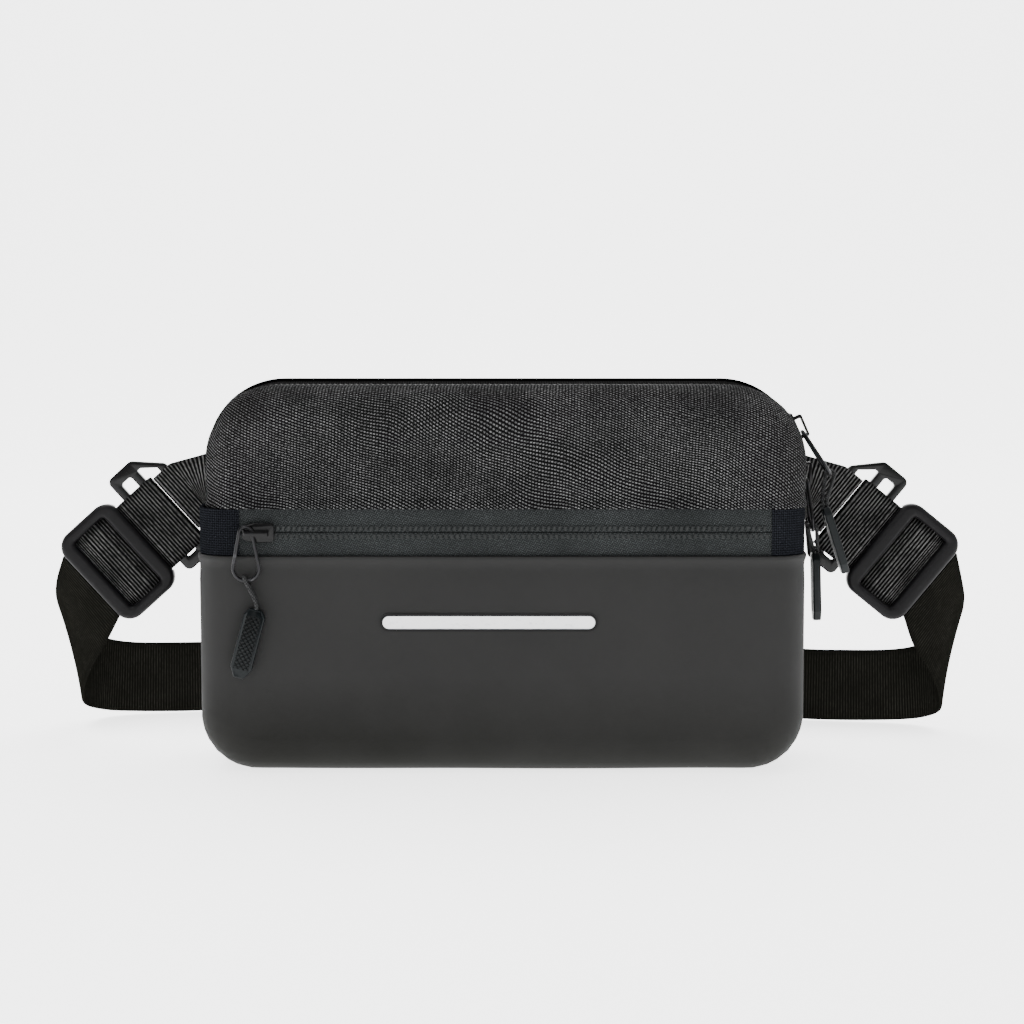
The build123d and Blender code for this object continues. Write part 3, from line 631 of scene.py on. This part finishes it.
def refined(node, name, material, body="bag", edge=0.35 * MM, steps=2, angle=38):
    """A finished copy of a hard CAD piece with its edges rounded over."""
    piece = link(name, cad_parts[node].data.copy())
    edit_all(piece, merge_doubles, bpy.ops.mesh.dissolve_limited, angle_limit=math.radians(1.5))
    if edge:
        round_edges(piece, edge, steps, 32)
        apply_all(piece)
    return finish_piece(piece, name, material, body, [node], angle)


def block(size, middle=(0, 0, 0)):
    """A plain block of the given size."""
    clear()
    bpy.ops.mesh.primitive_cube_add(size=1, location=middle)
    piece = bpy.context.object
    edit_all(piece, bpy.ops.transform.resize, value=size)
    settle(piece)
    return piece


def bevel_edges(piece, chosen, width, segments):
    """Rounds over the edges that chosen picks from their two ends, and the edges of picked faces."""
    co = points_of(piece)
    for edge in piece.data.edges:
        edge.select = bool(chosen(*(co[i] for i in edge.vertices)))
    bpy.ops.object.mode_set(mode="EDIT")
    bpy.ops.mesh.select_mode(type="EDGE")
    bpy.ops.mesh.bevel(offset=width, segments=segments, affect="EDGES")
    bpy.ops.object.mode_set(mode="OBJECT")


def even_faces(piece, size):
    """Covers the piece with faces of about one size."""
    remesh = piece.modifiers.new("even_faces", "REMESH")
    remesh.mode = "VOXEL"
    remesh.voxel_size = size
    apply_all(piece)


# ------------------------------------------------------------------ the bag's rounded form
def outline_seat(x, z, inset):
    """For points of the face: the way out and the signed distance past the inset outline."""
    side = np.sign(x)
    ax = np.abs(x)
    out = np.zeros((len(x), 2))
    past = np.zeros(len(x))
    for centre_z, radius, sign in ((HEIGHT - TOP_CORNER, TOP_CORNER, 1), (BASE_CORNER, BASE_CORNER, -1)):
        cx = HALF_WIDTH - radius
        corner = (ax > cx) & ((z - centre_z) * sign > 0)
        dx = ax[corner] - cx
        dz = z[corner] - centre_z
        far = np.hypot(dx, dz) + 1e-12
        out[corner] = np.stack([dx / far * side[corner], dz / far], 1)
        past[corner] = far - (radius - inset)
    rest = (out ** 2).sum(1) < 0.5
    gaps = np.stack([ax - (HALF_WIDTH - inset), z - (HEIGHT - inset), inset - z], 1)
    nearest = gaps.argmax(1)
    ways = np.zeros((len(x), 2))
    ways[nearest == 0, 0] = side[nearest == 0]
    ways[nearest == 1, 1] = 1
    ways[nearest == 2, 1] = -1
    out[rest] = ways[rest]
    past[rest] = gaps[np.arange(len(x)), nearest][rest]
    return out, past


def lay_on_form(co, lift):
    """Moves points onto the bag's outer form plus a lift, and gives their unrolled map."""
    x, y, z = co.T
    made = co.copy()
    uv = np.stack([x, z], 1)
    for roll, start, sign in ((FRONT_ROLL, FRONT, -1), (BACK_ROLL, BACK, 1)):
        mine = (y < (FRONT + BACK) / 2) if sign < 0 else (y >= (FRONT + BACK) / 2)
        out, past = outline_seat(x, z, roll)
        deep = sign * (y - (start - sign * roll))
        base = np.stack([x, z], 1) - out * past[:, None]
        wall = mine & (deep <= 0) & (past > 0)
        face = mine & (past <= 0)
        bend = mine & (deep > 0) & (past > 0)
        rise = np.broadcast_to(lift, x.shape)
        made[wall, 0::2] = (base + out * (roll + rise)[:, None])[wall]
        made[face, 1] = (start + sign * rise)[face]
        turn = np.arctan2(past, np.maximum(deep, 1e-9))
        reach = (roll + rise) * np.sin(turn)
        made[bend, 0::2] = (base + out * reach[:, None])[bend]
        made[bend, 1] = (start - sign * roll + sign * (roll + rise) * np.cos(turn))[bend]
        arc = np.where(deep > 0, roll * turn, roll * math.pi / 2 - deep)
        unrolled = base + out * arc[:, None]
        uv[wall | bend] = unrolled[wall | bend]
    return made, uv


def bag_form():
    """A block the size of the bag, rounded all round and covered with even faces."""
    depth = BACK - FRONT
    form = block((2 * HALF_WIDTH, depth, HEIGHT), (0, 0, HEIGHT / 2))
    for width, low, high in ((TOP_CORNER, 0.9 * HEIGHT, 2 * HEIGHT), (BASE_CORNER, -HEIGHT, 0.1 * HEIGHT)):
        for face in form.data.polygons:
            face.select = False
        bevel_edges(form, lambda a, b: abs(a[1] - b[1]) > 0.9 * depth and low < a[2] < high, width, 10)
    for y, width in ((FRONT, FRONT_ROLL), (BACK, BACK_ROLL)):
        bevel_edges(form, lambda a, b: max(abs(a[1] - y), abs(b[1] - y)) < 0.01 * MM, width, 6)
    even_faces(form, 3.2 * MM)
    form.name = "form"
    return form


def cut(piece, place, way, close=False):
    """Cuts the piece by a plane and drops the part that lies the given way."""
    edit_all(piece, bpy.ops.mesh.bisect, plane_co=place, plane_no=way, clear_outer=True, use_fill=close)


def score(piece, place, way):
    """Adds a row of points along a plane."""
    edit_all(piece, bpy.ops.mesh.bisect, plane_co=place, plane_no=way)


def near(value, centre, width):
    """A smooth bump of height 1 at the centre."""
    return np.exp(-((value - centre) / width) ** 2)


def ripple(co, seed, size, amount):
    """A slow, small unevenness that is the same on every run."""
    turn = np.random.default_rng(seed)
    total = np.zeros(len(co))
    for _ in range(7):
        way = turn.normal(size=3)
        way /= np.linalg.norm(way)
        phase = turn.uniform(0, 2 * math.pi)
        total += np.sin(co @ way * 2 * math.pi / (size * turn.uniform(0.6, 1.6)) + phase)
    return total / 7 * amount


FORM = bag_form()


def panel(cuts, scores, lift):
    """A piece of the form, cut, scored and laid on it again with a lift for each of its points."""
    piece = FORM.copy()
    piece.data = FORM.data.copy()
    bpy.context.scene.collection.objects.link(piece)
    for place, way in cuts:
        cut(piece, place, way)
    for place, way in scores:
        score(piece, place, way)
    made, _ = lay_on_form(points_of(piece), 0.0)
    made, uv = lay_on_form(made, lift(made))
    made[:, 2] = np.maximum(made[:, 2], 0.0)
    move_points(piece, made)
    lay_map(piece, uv)
    return piece


def shell(name, material, node, cuts, scores, lift, wall=2.2 * MM):
    """One sewn panel of the bag's shell."""
    piece = panel(cuts, scores, lift)
    thicken(piece, wall)
    round_edges(piece, 0.5 * MM, 2, 60)
    apply_all(piece)
    return finish_piece(piece, name, material, "bag", [node], 50)


UP, DOWN = (0, 0, 1), (0, 0, -1)
AWAY, TOWARD = (0, 1, 0), (0, -1, 0)


def rows(axis, *places):
    """Scoring planes across an axis at the given places."""
    way = (0, 1, 0) if axis == "y" else (0, 0, 1)
    return [((0, p, 0) if axis == "y" else (0, 0, p), way) for p in places]


def upper_lift(co):
    z, y = co[:, 2], co[:, 1]
    lift = ripple(co, 3, 0.09, 0.5 * MM)
    lift += 0.5 * MM * near(z, POCKET_TOP + 1.0 * MM, 1.4 * MM)
    lift -= 0.5 * MM * near(z, POCKET_TOP + 5.5 * MM, 1.8 * MM)
    lift -= SEAM_DIP * near(y, TRACK_FRONT, 2.2 * MM)
    drawn_in = np.clip((-co[:, 0] - 0.116) / 0.014, 0, 1)
    return lift - 3.2 * MM * drawn_in ** 2 * (3 - 2 * drawn_in)


def lower_lift(co):
    x, y, z = co.T
    lift = ripple(co, 5, 0.12, 0.35 * MM)
    lift += 0.7 * MM * near(z, POCKET_BOTTOM - 1.2 * MM, 1.6 * MM)
    lift -= 0.25 * MM * near(z, POCKET_BOTTOM - 6 * MM, 3 * MM)
    lift += 0.7 * MM * np.clip(1 - (x / 0.115) ** 2, 0, 1) * near(z, 0.035, 0.03)
    lift -= SEAM_DIP * near(y, TRACK_FRONT, 2.2 * MM)
    at_bar = near(z, BAR_Z, 7 * MM) * (np.abs(x - BAR_X) < 52 * MM)
    return np.where(at_bar > 0.3, np.minimum(lift, 0.15 * MM), lift)


def low_corner(co):
    """Extra fullness over the lining at the rear base corners."""
    away = np.hypot(np.abs(co[:, 0]) - 124 * MM, co[:, 2] - 10 * MM)
    return 1.1 * MM * near(away, 0, 22 * MM) * np.clip((co[:, 1] - 8 * MM) / (9 * MM), 0, 1)


def gusset_lift(co):
    y = co[:, 1]
    lift = ripple(co, 9, 0.07, 0.4 * MM)
    for seam in (TRACK_FRONT, TRACK_BACK):
        lift -= SEAM_DIP * near(y, seam, 2.0 * MM)
    under = near(y, PANEL_SEAM, 2.4 * MM)
    tucked = np.clip((y - PANEL_SEAM) / (1.4 * MM), 0, 1)
    return lift * (1 - under) + 0.5 * MM * under - 1.5 * MM * tucked + low_corner(co)


def back_lift(co):
    under = near(co[:, 1], PANEL_SEAM, 2.4 * MM)
    return ripple(co, 11, 0.1, 0.5 * MM) * (1 - under) + 0.5 * MM * under + low_corner(co)


seam_rows = rows("y", TRACK_FRONT - 1.5 * MM, TRACK_FRONT - 3.5 * MM)
shell("front_upper_cloth", "weave", "front_upper_panel",
      [((0, TRACK_FRONT, 0), AWAY), ((0, 0, POCKET_TOP), DOWN)],
      rows("z", *(POCKET_TOP + d * MM for d in (0.7, 1.6, 2.8, 4.2, 5.6, 7.0))) + seam_rows, upper_lift)
shell("front_lower_cloth", "coated", "front_lower_panel",
      [((0, TRACK_FRONT, 0), AWAY), ((0, 0, POCKET_BOTTOM), UP)],
      rows("z", *(POCKET_BOTTOM - d * MM for d in (0.7, 1.6, 2.8, 4.2, 5.6, 7.0))) + seam_rows, lower_lift)
shell("base_gusset_cloth", "side", "base_gusset",
      [((0, TRACK_FRONT, 0), TOWARD), ((0, TRACK_BACK, 0), AWAY), ((0, 0, TRACK_END), UP)],
      rows("y", *(TRACK_FRONT + d * MM for d in (1, 2.2, 4, 16, 17.8, 19))), gusset_lift)
shell("rear_gusset_cloth", "side", "rear_gusset",
      [((0, TRACK_BACK, 0), TOWARD), ((0, PANEL_SEAM + 2 * MM, 0), AWAY)],
      rows("y", *(TRACK_BACK + d * MM for d in (1, 2.2, 5.8, 7, 8, 8.7))), gusset_lift)
shell("back_cloth", "back", "back_panel",
      [((0, PANEL_SEAM, 0), TOWARD)],
      rows("y", *(PANEL_SEAM + d * MM for d in (1, 2.2, 4))), back_lift)


def end_tab_lift(co):
    return ripple(co, 15, 0.03, 0.15 * MM) - 0.35 * MM


for side, x, way in (("left", POCKET_LEFT, (1, 0, 0)), ("right", POCKET_RIGHT, (-1, 0, 0))):
    shell(f"zip_tab_{side}_cloth", "tab", f"front_zip_tab_{side}",
          [((0, TRACK_FRONT, 0), AWAY), ((0, 0, POCKET_TOP), UP), ((0, 0, POCKET_BOTTOM), DOWN),
           ((x, 0, 0), way)],
          [], end_tab_lift, 1.6 * MM)


# ------------------------------------------------------------------ zips
def front_tape(name, node, low, high):
    """One side of the front zip's tape, ending in a rounded lip against the chain."""
    clear()
    bpy.ops.mesh.primitive_grid_add(x_subdivisions=116, y_subdivisions=8, size=1)
    piece = bpy.context.object
    co = points_of(piece)
    x = POCKET_LEFT + (co[:, 0] + 0.5) * (POCKET_RIGHT - POCKET_LEFT)
    z = low + (co[:, 1] + 0.5) * (high - low)
    wave = ripple(np.stack([x, x * 0, z], 1), 23, 0.04, 0.12 * MM)
    y = FRONT + 1.35 * MM - 0.5 * MM * near(z, POCKET_MIDDLE, 1.6 * MM) + wave
    move_points(piece, np.stack([x, y, z], 1))
    lay_map(piece, np.stack([x, z], 1))
    thicken(piece, TAPE_WALL)
    apply_all(piece)
    return finish_piece(piece, name, "tape", "bag", [node])


front_tape("front_tape_upper_cloth", "front_zip_tape_upper", POCKET_MIDDLE + 0.25 * MM, POCKET_TOP + 0.2 * MM)
front_tape("front_tape_lower_cloth", "front_zip_tape_lower", POCKET_BOTTOM - 0.2 * MM,
           POCKET_MIDDLE - 0.25 * MM)


def main_tape_lift(co):
    return 0.5 * MM * near(co[:, 1], TRACK_MIDDLE, 1.8 * MM) - 1.25 * MM


def main_tape(name, node, front, back):
    """One side of the main zip's tape, over the top of the bag."""
    cuts = [((0, front, 0), TOWARD), ((0, back, 0), AWAY), ((0, 0, TRACK_END), DOWN)]
    piece = panel(cuts, [], main_tape_lift)
    thicken(piece, TAPE_WALL)
    apply_all(piece)
    return finish_piece(piece, name, "tape", "bag", [node])


main_tape("main_tape_front_cloth", "main_zip_tape_front", TRACK_FRONT - 0.2 * MM, TRACK_MIDDLE - 0.25 * MM)
main_tape("main_tape_rear_cloth", "main_zip_tape_rear", TRACK_MIDDLE + 0.25 * MM, TRACK_BACK + 0.2 * MM)


def tooth():
    """One moulded turn of the zip's coil: a slim bar with a rounded nose."""
    bar = block((1.5 * MM, 2.3 * MM, 0.9 * MM))
    edit_all(bar, bpy.ops.mesh.bevel, offset=0.36 * MM, segments=1, affect="EDGES")
    return bar


def chain(name, node, seats):
    """Teeth set on both sides of the meeting line; seats give place, run, side and out ways."""
    pattern = tooth()
    co = points_of(pattern)
    faces = [list(f.vertices) for f in pattern.data.polygons]
    verts, polygons = [], []
    for i, (place, run, side, out) in enumerate(seats):
        hand = 1 if i % 2 else -1
        turn = run * (co[:, :1] + 0.35 * hand * co[:, 1:2] * 0.5) + side * (co[:, 1:2] + hand * 1.75 * MM)
        made = place + turn + out * co[:, 2:3]
        start = len(verts)
        verts.extend(made.tolist())
        polygons.extend([[v + start for v in f] for f in faces])
    mesh = bpy.data.meshes.new(name)
    mesh.from_pydata(verts, [], polygons)
    piece = link(name, mesh)
    bpy.data.objects.remove(pattern)
    edit_all(piece, bpy.ops.mesh.normals_make_consistent, inside=False)
    return finish_piece(piece, name, "coil", "bag", [node], 30)


X_WAY, Y_WAY, Z_WAY = np.eye(3)
front_seats = [
    (np.array([x, FRONT + COIL_DEPTH, POCKET_MIDDLE]), X_WAY, Z_WAY, -Y_WAY)
    for x in np.arange(POCKET_LEFT + 1 * MM, POCKET_RIGHT - 1 * MM, TOOTH_STEP)
]
chain("front_zip_coil", "front_zip_chain", front_seats)


def main_track_seats():
    """Places along the zip over the top of the bag, from one side to the other."""
    radius = TOP_CORNER - COIL_DEPTH
    side_x = HALF_WIDTH - COIL_DEPTH
    straight = HEIGHT - TOP_CORNER - TRACK_END
    arc = radius * math.pi / 2
    top = 2 * (HALF_WIDTH - TOP_CORNER)
    seats = []
    for s in np.arange(1 * MM, 2 * straight + 2 * arc + top - 1 * MM, TOOTH_STEP):
        if s < straight:
            point, out = (-side_x, TRACK_END + s), (-1, 0)
        elif s < straight + arc:
            turn = (s - straight) / radius
            out = (-math.cos(turn), math.sin(turn))
            point = (-(HALF_WIDTH - TOP_CORNER) + radius * out[0], HEIGHT - TOP_CORNER + radius * out[1])
        elif s < straight + arc + top:
            point, out = (-(HALF_WIDTH - TOP_CORNER) + s - straight - arc, HEIGHT - COIL_DEPTH), (0, 1)
        elif s < straight + 2 * arc + top:
            turn = (s - straight - arc - top) / radius
            out = (math.sin(turn), math.cos(turn))
            point = (HALF_WIDTH - TOP_CORNER + radius * out[0], HEIGHT - TOP_CORNER + radius * out[1])
        else:
            point, out = (side_x, HEIGHT - TOP_CORNER - (s - straight - 2 * arc - top)), (1, 0)
        outward = np.array([out[0], 0.0, out[1]])
        run = np.array([out[1], 0.0, -out[0]])
        seats.append((np.array([point[0], TRACK_MIDDLE, point[1]]), run, Y_WAY, outward))
    return seats


chain("main_zip_coil", "main_zip_chain", main_track_seats())


# ------------------------------------------------------------------ webbing
def hardware_point(side, x, y, z):
    """A point of the belt hardware's own frame, put on the named side of the bag."""
    angle = BELT_ANGLE[side]
    up = np.array([-math.cos(angle), 0, math.sin(angle)])
    across = np.array([math.sin(angle), 0, math.cos(angle)])
    centre = np.array([REACH[side], BELT_PLANE, ADJUSTER_HEIGHT])
    point = centre + up * x * MM + np.array([0, -1.0, 0]) * y * MM + across * z * MM
    return point * np.array([-1 if side == "left" else 1, 1, 1])


def folded(points, radius, steps=5):
    """A bent line with its corners rounded to the radius."""
    made = [np.array(points[0], float)]
    for before, corner, after in zip(points, points[1:], points[2:]):
        before, corner, after = (np.array(p, float) for p in (before, corner, after))
        back, ahead = before - corner, after - corner
        reach_back, reach_ahead = np.linalg.norm(back), np.linalg.norm(ahead)
        back, ahead = back / reach_back, ahead / reach_ahead
        half = math.acos(np.clip(back @ ahead, -1, 1)) / 2
        trim = min(radius / math.tan(half), 0.48 * reach_back, 0.48 * reach_ahead) if half < 1.57 else 0
        start, end = corner + back * trim, corner + ahead * trim
        for t in np.linspace(0, 1, steps):
            made.append((1 - t) ** 2 * start + 2 * t * (1 - t) * corner + t ** 2 * end)
    made.append(np.array(points[-1], float))
    return made


def eased(points, per=7):
    """A smooth line through the points, with a few more between each two."""
    points = np.array(points)
    padded = np.vstack([2 * points[0] - points[1], points, 2 * points[-1] - points[-2]])
    made = []
    for i in range(1, len(points)):
        p0, p1, p2, p3 = padded[i - 1:i + 3]
        for t in np.arange(per) / per:
            made.append(0.5 * (2 * p1 + (p2 - p0) * t + (2 * p0 - 5 * p1 + 4 * p2 - p3) * t ** 2
                               + (3 * p1 - p0 - 3 * p2 + p3) * t ** 3))
    made.append(points[-1])
    return np.array(made)


def strip(name, tops, lows, material, stands_for, across=10, thickness=WEB, body="bag", drop=None):
    """Webbing laid through rulings: a grid whose columns follow them, given its thickness."""
    tops, lows = np.array(tops), np.array(lows)
    middle = (tops + lows) / 2
    length = np.concatenate([[0], np.cumsum(np.linalg.norm(np.diff(middle, axis=0), axis=1))])
    count = len(tops)
    clear()
    bpy.ops.mesh.primitive_grid_add(x_subdivisions=count - 1, y_subdivisions=across, size=1)
    piece = bpy.context.object
    grid = points_of(piece)
    column = np.rint((grid[:, 0] + 0.5) * (count - 1)).astype(int)
    share = grid[:, 1] + 0.5
    made = tops[column] * (1 - share)[:, None] + lows[column] * share[:, None]
    move_points(piece, made)
    width = np.linalg.norm(lows - tops, axis=1)[column]
    lay_map(piece, np.stack([length[column], (share - 0.5) * width], 1))
    thicken(piece, thickness, 0.0)
    round_edges(piece, 0.35 * MM, 2, 60)
    apply_all(piece)
    if drop:
        cut(piece, (BELT_SPLIT, 0, 0), drop, True)
    return finish_piece(piece, name, material, body, stands_for, 45)


HALF_WEBBING = 19
LOOP_PROFILE = [
    (10.5, -2.2), (3.1, -2.2), (3.1, 1.1), (-3.1, 1.1), (-3.1, -3.9), (14, -3.9), (20, -2.75),
    (36.5, -2.75), (36.5, 2.55), (19.5, 2.55), (15.5, -0.5), (8.5, -0.5), (3.6, 2.8), (-3.6, 2.8),
    (-8.5, -0.5), (-17.5, -0.5),
]
TOP_EDGE = [
    (217.0, 34.5, 78.0), (220.0, 43.0, 68.0), (219.5, 52.5, 57.5), (213.5, 61.0, 48.5), (203.0, 67.0, 42.0),
    (190.0, 71.0, 38.5), (168.0, 75.0, 36.8), (145.0, 79.0, 36.8), (120.0, 89.0, 38.4), (98.0, 99.0, 40.8),
    (80.0, 104.15, 43.0),
]
LOW_EDGE = [
    (194.0, 32.0, 46.0), (203.5, 39.0, 31.5), (210.5, 50.0, 18.0), (213.0, 63.0, 8.0), (207.0, 75.0, 2.6),
    (193.0, 81.5, 0.9), (170.0, 85.0, 0.9), (146.0, 89.0, 0.9), (120.0, 96.0, 1.4), (98.0, 102.0, 3.0),
    (80.0, 104.15, 5.0),
]
SET_BACK = {"right": [0.0] * 11, "left": [2, 6, 11, 16, 20, 22, 23, 22, 15, 5, 0]}
BUCKLE_Y, BUCKLE_Z = 105.0, 24.0
END_PROFILE = [
    (80.0, -0.85), (48, -0.85), (41, -2.55), (31.95, -2.55), (31.95, 2.55), (41, 2.55), (48, 0.85),
    (66, 0.85),
]


def belt_rulings(side):
    """Edge points of one belt, from the sewn end in the adjuster to the fold at the buckle."""
    flip = np.array([-1 if side == "left" else 1, 1, 1])
    tops, lows = [], []
    for x, y in folded(LOOP_PROFILE, 1.0):
        half = HALF_WEBBING + 1.4 * np.clip((14 - abs(x)) / 3, 0, 1)
        tops.append(hardware_point(side, x, y, half))
        lows.append(hardware_point(side, x, y, -half))
    run_tops, run_lows = [tops[-1]], [lows[-1]]
    for top, low, back in zip(TOP_EDGE, LOW_EDGE, SET_BACK[side]):
        move = np.array([RUN_SHIFT[side] if top[0] > 150 else 0.0, back, 0.0])
        top, low = (np.array(top) + move) * flip * MM, (np.array(low) + move) * flip * MM
        middle, way = (top + low) / 2, (low - top) / np.linalg.norm(low - top)
        run_tops.append(middle - way * WEBBING / 2)
        run_lows.append(middle + way * WEBBING / 2)
    tops.extend(eased(run_tops)[1:])
    lows.extend(eased(run_lows)[1:])
    for x, y in folded(END_PROFILE, 1.2)[1:]:
        for edge, z in ((tops, HALF_WEBBING), (lows, -HALF_WEBBING)):
            edge.append(np.array([x, BUCKLE_Y + y, BUCKLE_Z + z]) * flip * MM)
    return tops, lows


def split_belt(side):
    """The ribbed part in the hardware and the smoother run behind it; the right run is cut in two at the
    split."""
    tops, lows = belt_rulings(side)
    loop = len(folded(LOOP_PROFILE, 1.0))
    piece = strip(f"{side}_belt_loop_webbing", tops[:loop], lows[:loop], "webbing", [f"{side}_belt_loop"],
                  body=None)
    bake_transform(piece)
    run = tops[loop - 1:], lows[loop - 1:], "belt", [f"{side}_belt"]
    piece = strip(f"{side}_belt_webbing", *run, body=None, drop=(-1, 0, 0) if side == "right" else None)
    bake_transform(piece)
    if side == "right":
        piece = strip("right_belt_far_webbing", *run, body=None, drop=(1, 0, 0))
        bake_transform(piece)


split_belt("left")
split_belt("right")


SEAM_X, SEAM_LOW, SEAM_HIGH = 133.5, 107.0, 138.0
RING_BAR, WING_HIGH, WING_LOW = 48.2, 17.4, -13.4
RING_FOLD = [(48.4, 2.5), (38.6, 2.5), (38.6, -2.5), (48.4, -2.5)]


def wing(side):
    """Folded webbing tab from the side seam round the ring's far bar and back."""
    flip = np.array([-1 if side == "left" else 1, 1, 1])

    def bar(x, y):
        return np.array([hardware_point(side, x, y, WING_HIGH), hardware_point(side, x, y, WING_LOW)])

    def layer(seam_y, bar_y, shares):
        seam = np.array([[SEAM_X, seam_y, SEAM_HIGH], [SEAM_X, seam_y, SEAM_LOW]]) * flip * MM
        return [seam * (1 - t) + bar(RING_BAR, bar_y) * t for t in shares]

    rulings = layer(15.2, 2.5, (0, 0.25, 0.5, 0.75))
    rulings += [bar(x, y) for x, y in folded(RING_FOLD, 1.6)]
    rulings += layer(17.0, -2.5, (0.75, 0.5, 0.25, 0))
    tops, lows = np.array(rulings).transpose(1, 0, 2)
    return strip(f"{side}_wing_webbing", tops, lows, "webbing", [f"{side}_wing"], 8, 1.4 * MM)


wing("left")
wing("right")


# ------------------------------------------------------------------ hard pieces
for side in ("left", "right"):
    refined(f"{side}_ring", f"{side}_ring_plate", "ring", "bag", 0.9 * MM, 3)
    refined(f"{side}_adjuster", f"{side}_adjuster_frame", "adjuster", f"{side}_adjuster",
            0.5 * MM, 2)
refined("buckle_housing", "buckle_socket", "buckle", "bag", 0.5 * MM)
refined("buckle_plug", "buckle_insert", "buckle", "buckle_plug", 0.4 * MM)
for end in ("upper", "lower"):
    refined(f"buckle_prong_{end}", f"buckle_arm_{end}", "buckle", f"prong_{end}", 0.4 * MM)
for zip_name in GRIPS:
    refined(f"{zip_name}_slider", f"{zip_name}_slider_body", "enamel", f"{zip_name}_slider",
            0.25 * MM)
    refined(f"{zip_name}_bail", f"{zip_name}_wire_bail", "wire", f"{zip_name}_bail", 0, angle=60)
    grip = refined(f"{zip_name}_grip", f"{zip_name}_grip_body", "grip", f"{zip_name}_pull", 0.2 * MM)
    top, up = np.array(GRIPS[zip_name]["top"]) * MM, np.array(grip_up(zip_name))
    axis = np.array(GRIPS[zip_name]["axis"], float)
    across = axis - up * (axis @ up)
    across /= np.linalg.norm(across)
    local = points_of(grip) - top
    lay_map(grip, np.stack([local @ across, local @ up], 1))

INSIDE = {
    "front_pocket_lining": "lining", "main_lining": "lining", "pocket_divider": "foam", "back_board": "foam",
    "base_board": "foam", "reflective_strip_frame": "edge", "reflective_strip": "film", "rear_piping": "bind",
}
for node, material in INSIDE.items():
    paint(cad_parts[node], material)
for cord in CORDS:
    paint(cord, "cord")


# ------------------------------------------------------------------ back pads
PAD_SWELL = 1.2 * MM
PAD_CORNER = 19 * MM
LAST_STEP = 20


def swell(pad, sewn_y):
    """Puffs a pad out a little by a short cloth simulation; its base stays sewn down."""
    start = points_of(pad)
    pinned = pad.vertex_groups.new(name="sewn")
    pinned.add([i for i, p in enumerate(start) if p[1] < sewn_y], 1.0, "REPLACE")
    cloth = pad.modifiers.new("cloth", "CLOTH")
    cloth.settings.vertex_group_mass = "sewn"
    cloth.settings.use_pressure = True
    cloth.settings.uniform_pressure_force = 4
    cloth.settings.effector_weights.gravity = 0
    cloth.settings.tension_stiffness = 40
    cloth.settings.compression_stiffness = 40
    cloth.settings.bending_stiffness = 8
    cloth.point_cache.frame_start = 1
    cloth.point_cache.frame_end = LAST_STEP
    for step in range(1, LAST_STEP + 1):
        bpy.context.scene.frame_set(step)
    apply_all(pad)
    puffed = points_of(pad)
    bpy.context.scene.frame_set(1)
    move_points(pad, start + np.clip(puffed - start, -PAD_SWELL, PAD_SWELL))


def back_pad(node, name):
    """A foam pad under mesh cloth, rounded all over."""
    low, high = (Vector(corner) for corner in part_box(node))
    size = high - low
    pad = block((size.x - 2 * MM, size.y - 0.6 * MM, size.z - 2 * MM), (low + high) / 2)
    bevel_edges(pad, lambda a, b: abs(a[1] - b[1]) > 2 * MM, PAD_CORNER, 8)
    even_faces(pad, 2.2 * MM)
    swell(pad, low.y + 1.5 * MM)
    relax = pad.modifiers.new("relax", "SMOOTH")
    relax.factor = 0.5
    relax.iterations = 6
    finer = pad.modifiers.new("finer", "SUBSURF")
    finer.levels = finer.render_levels = 1
    apply_all(pad)
    lay_map(pad, points_of(pad)[:, 0::2])
    finish_piece(pad, name, "mesh", "bag", [node], 60)
    return pad


back_pad("back_pad_lower", "back_pad_lower_mesh")
back_pad("back_pad_upper", "back_pad_upper_mesh")

bpy.data.objects.remove(FORM)
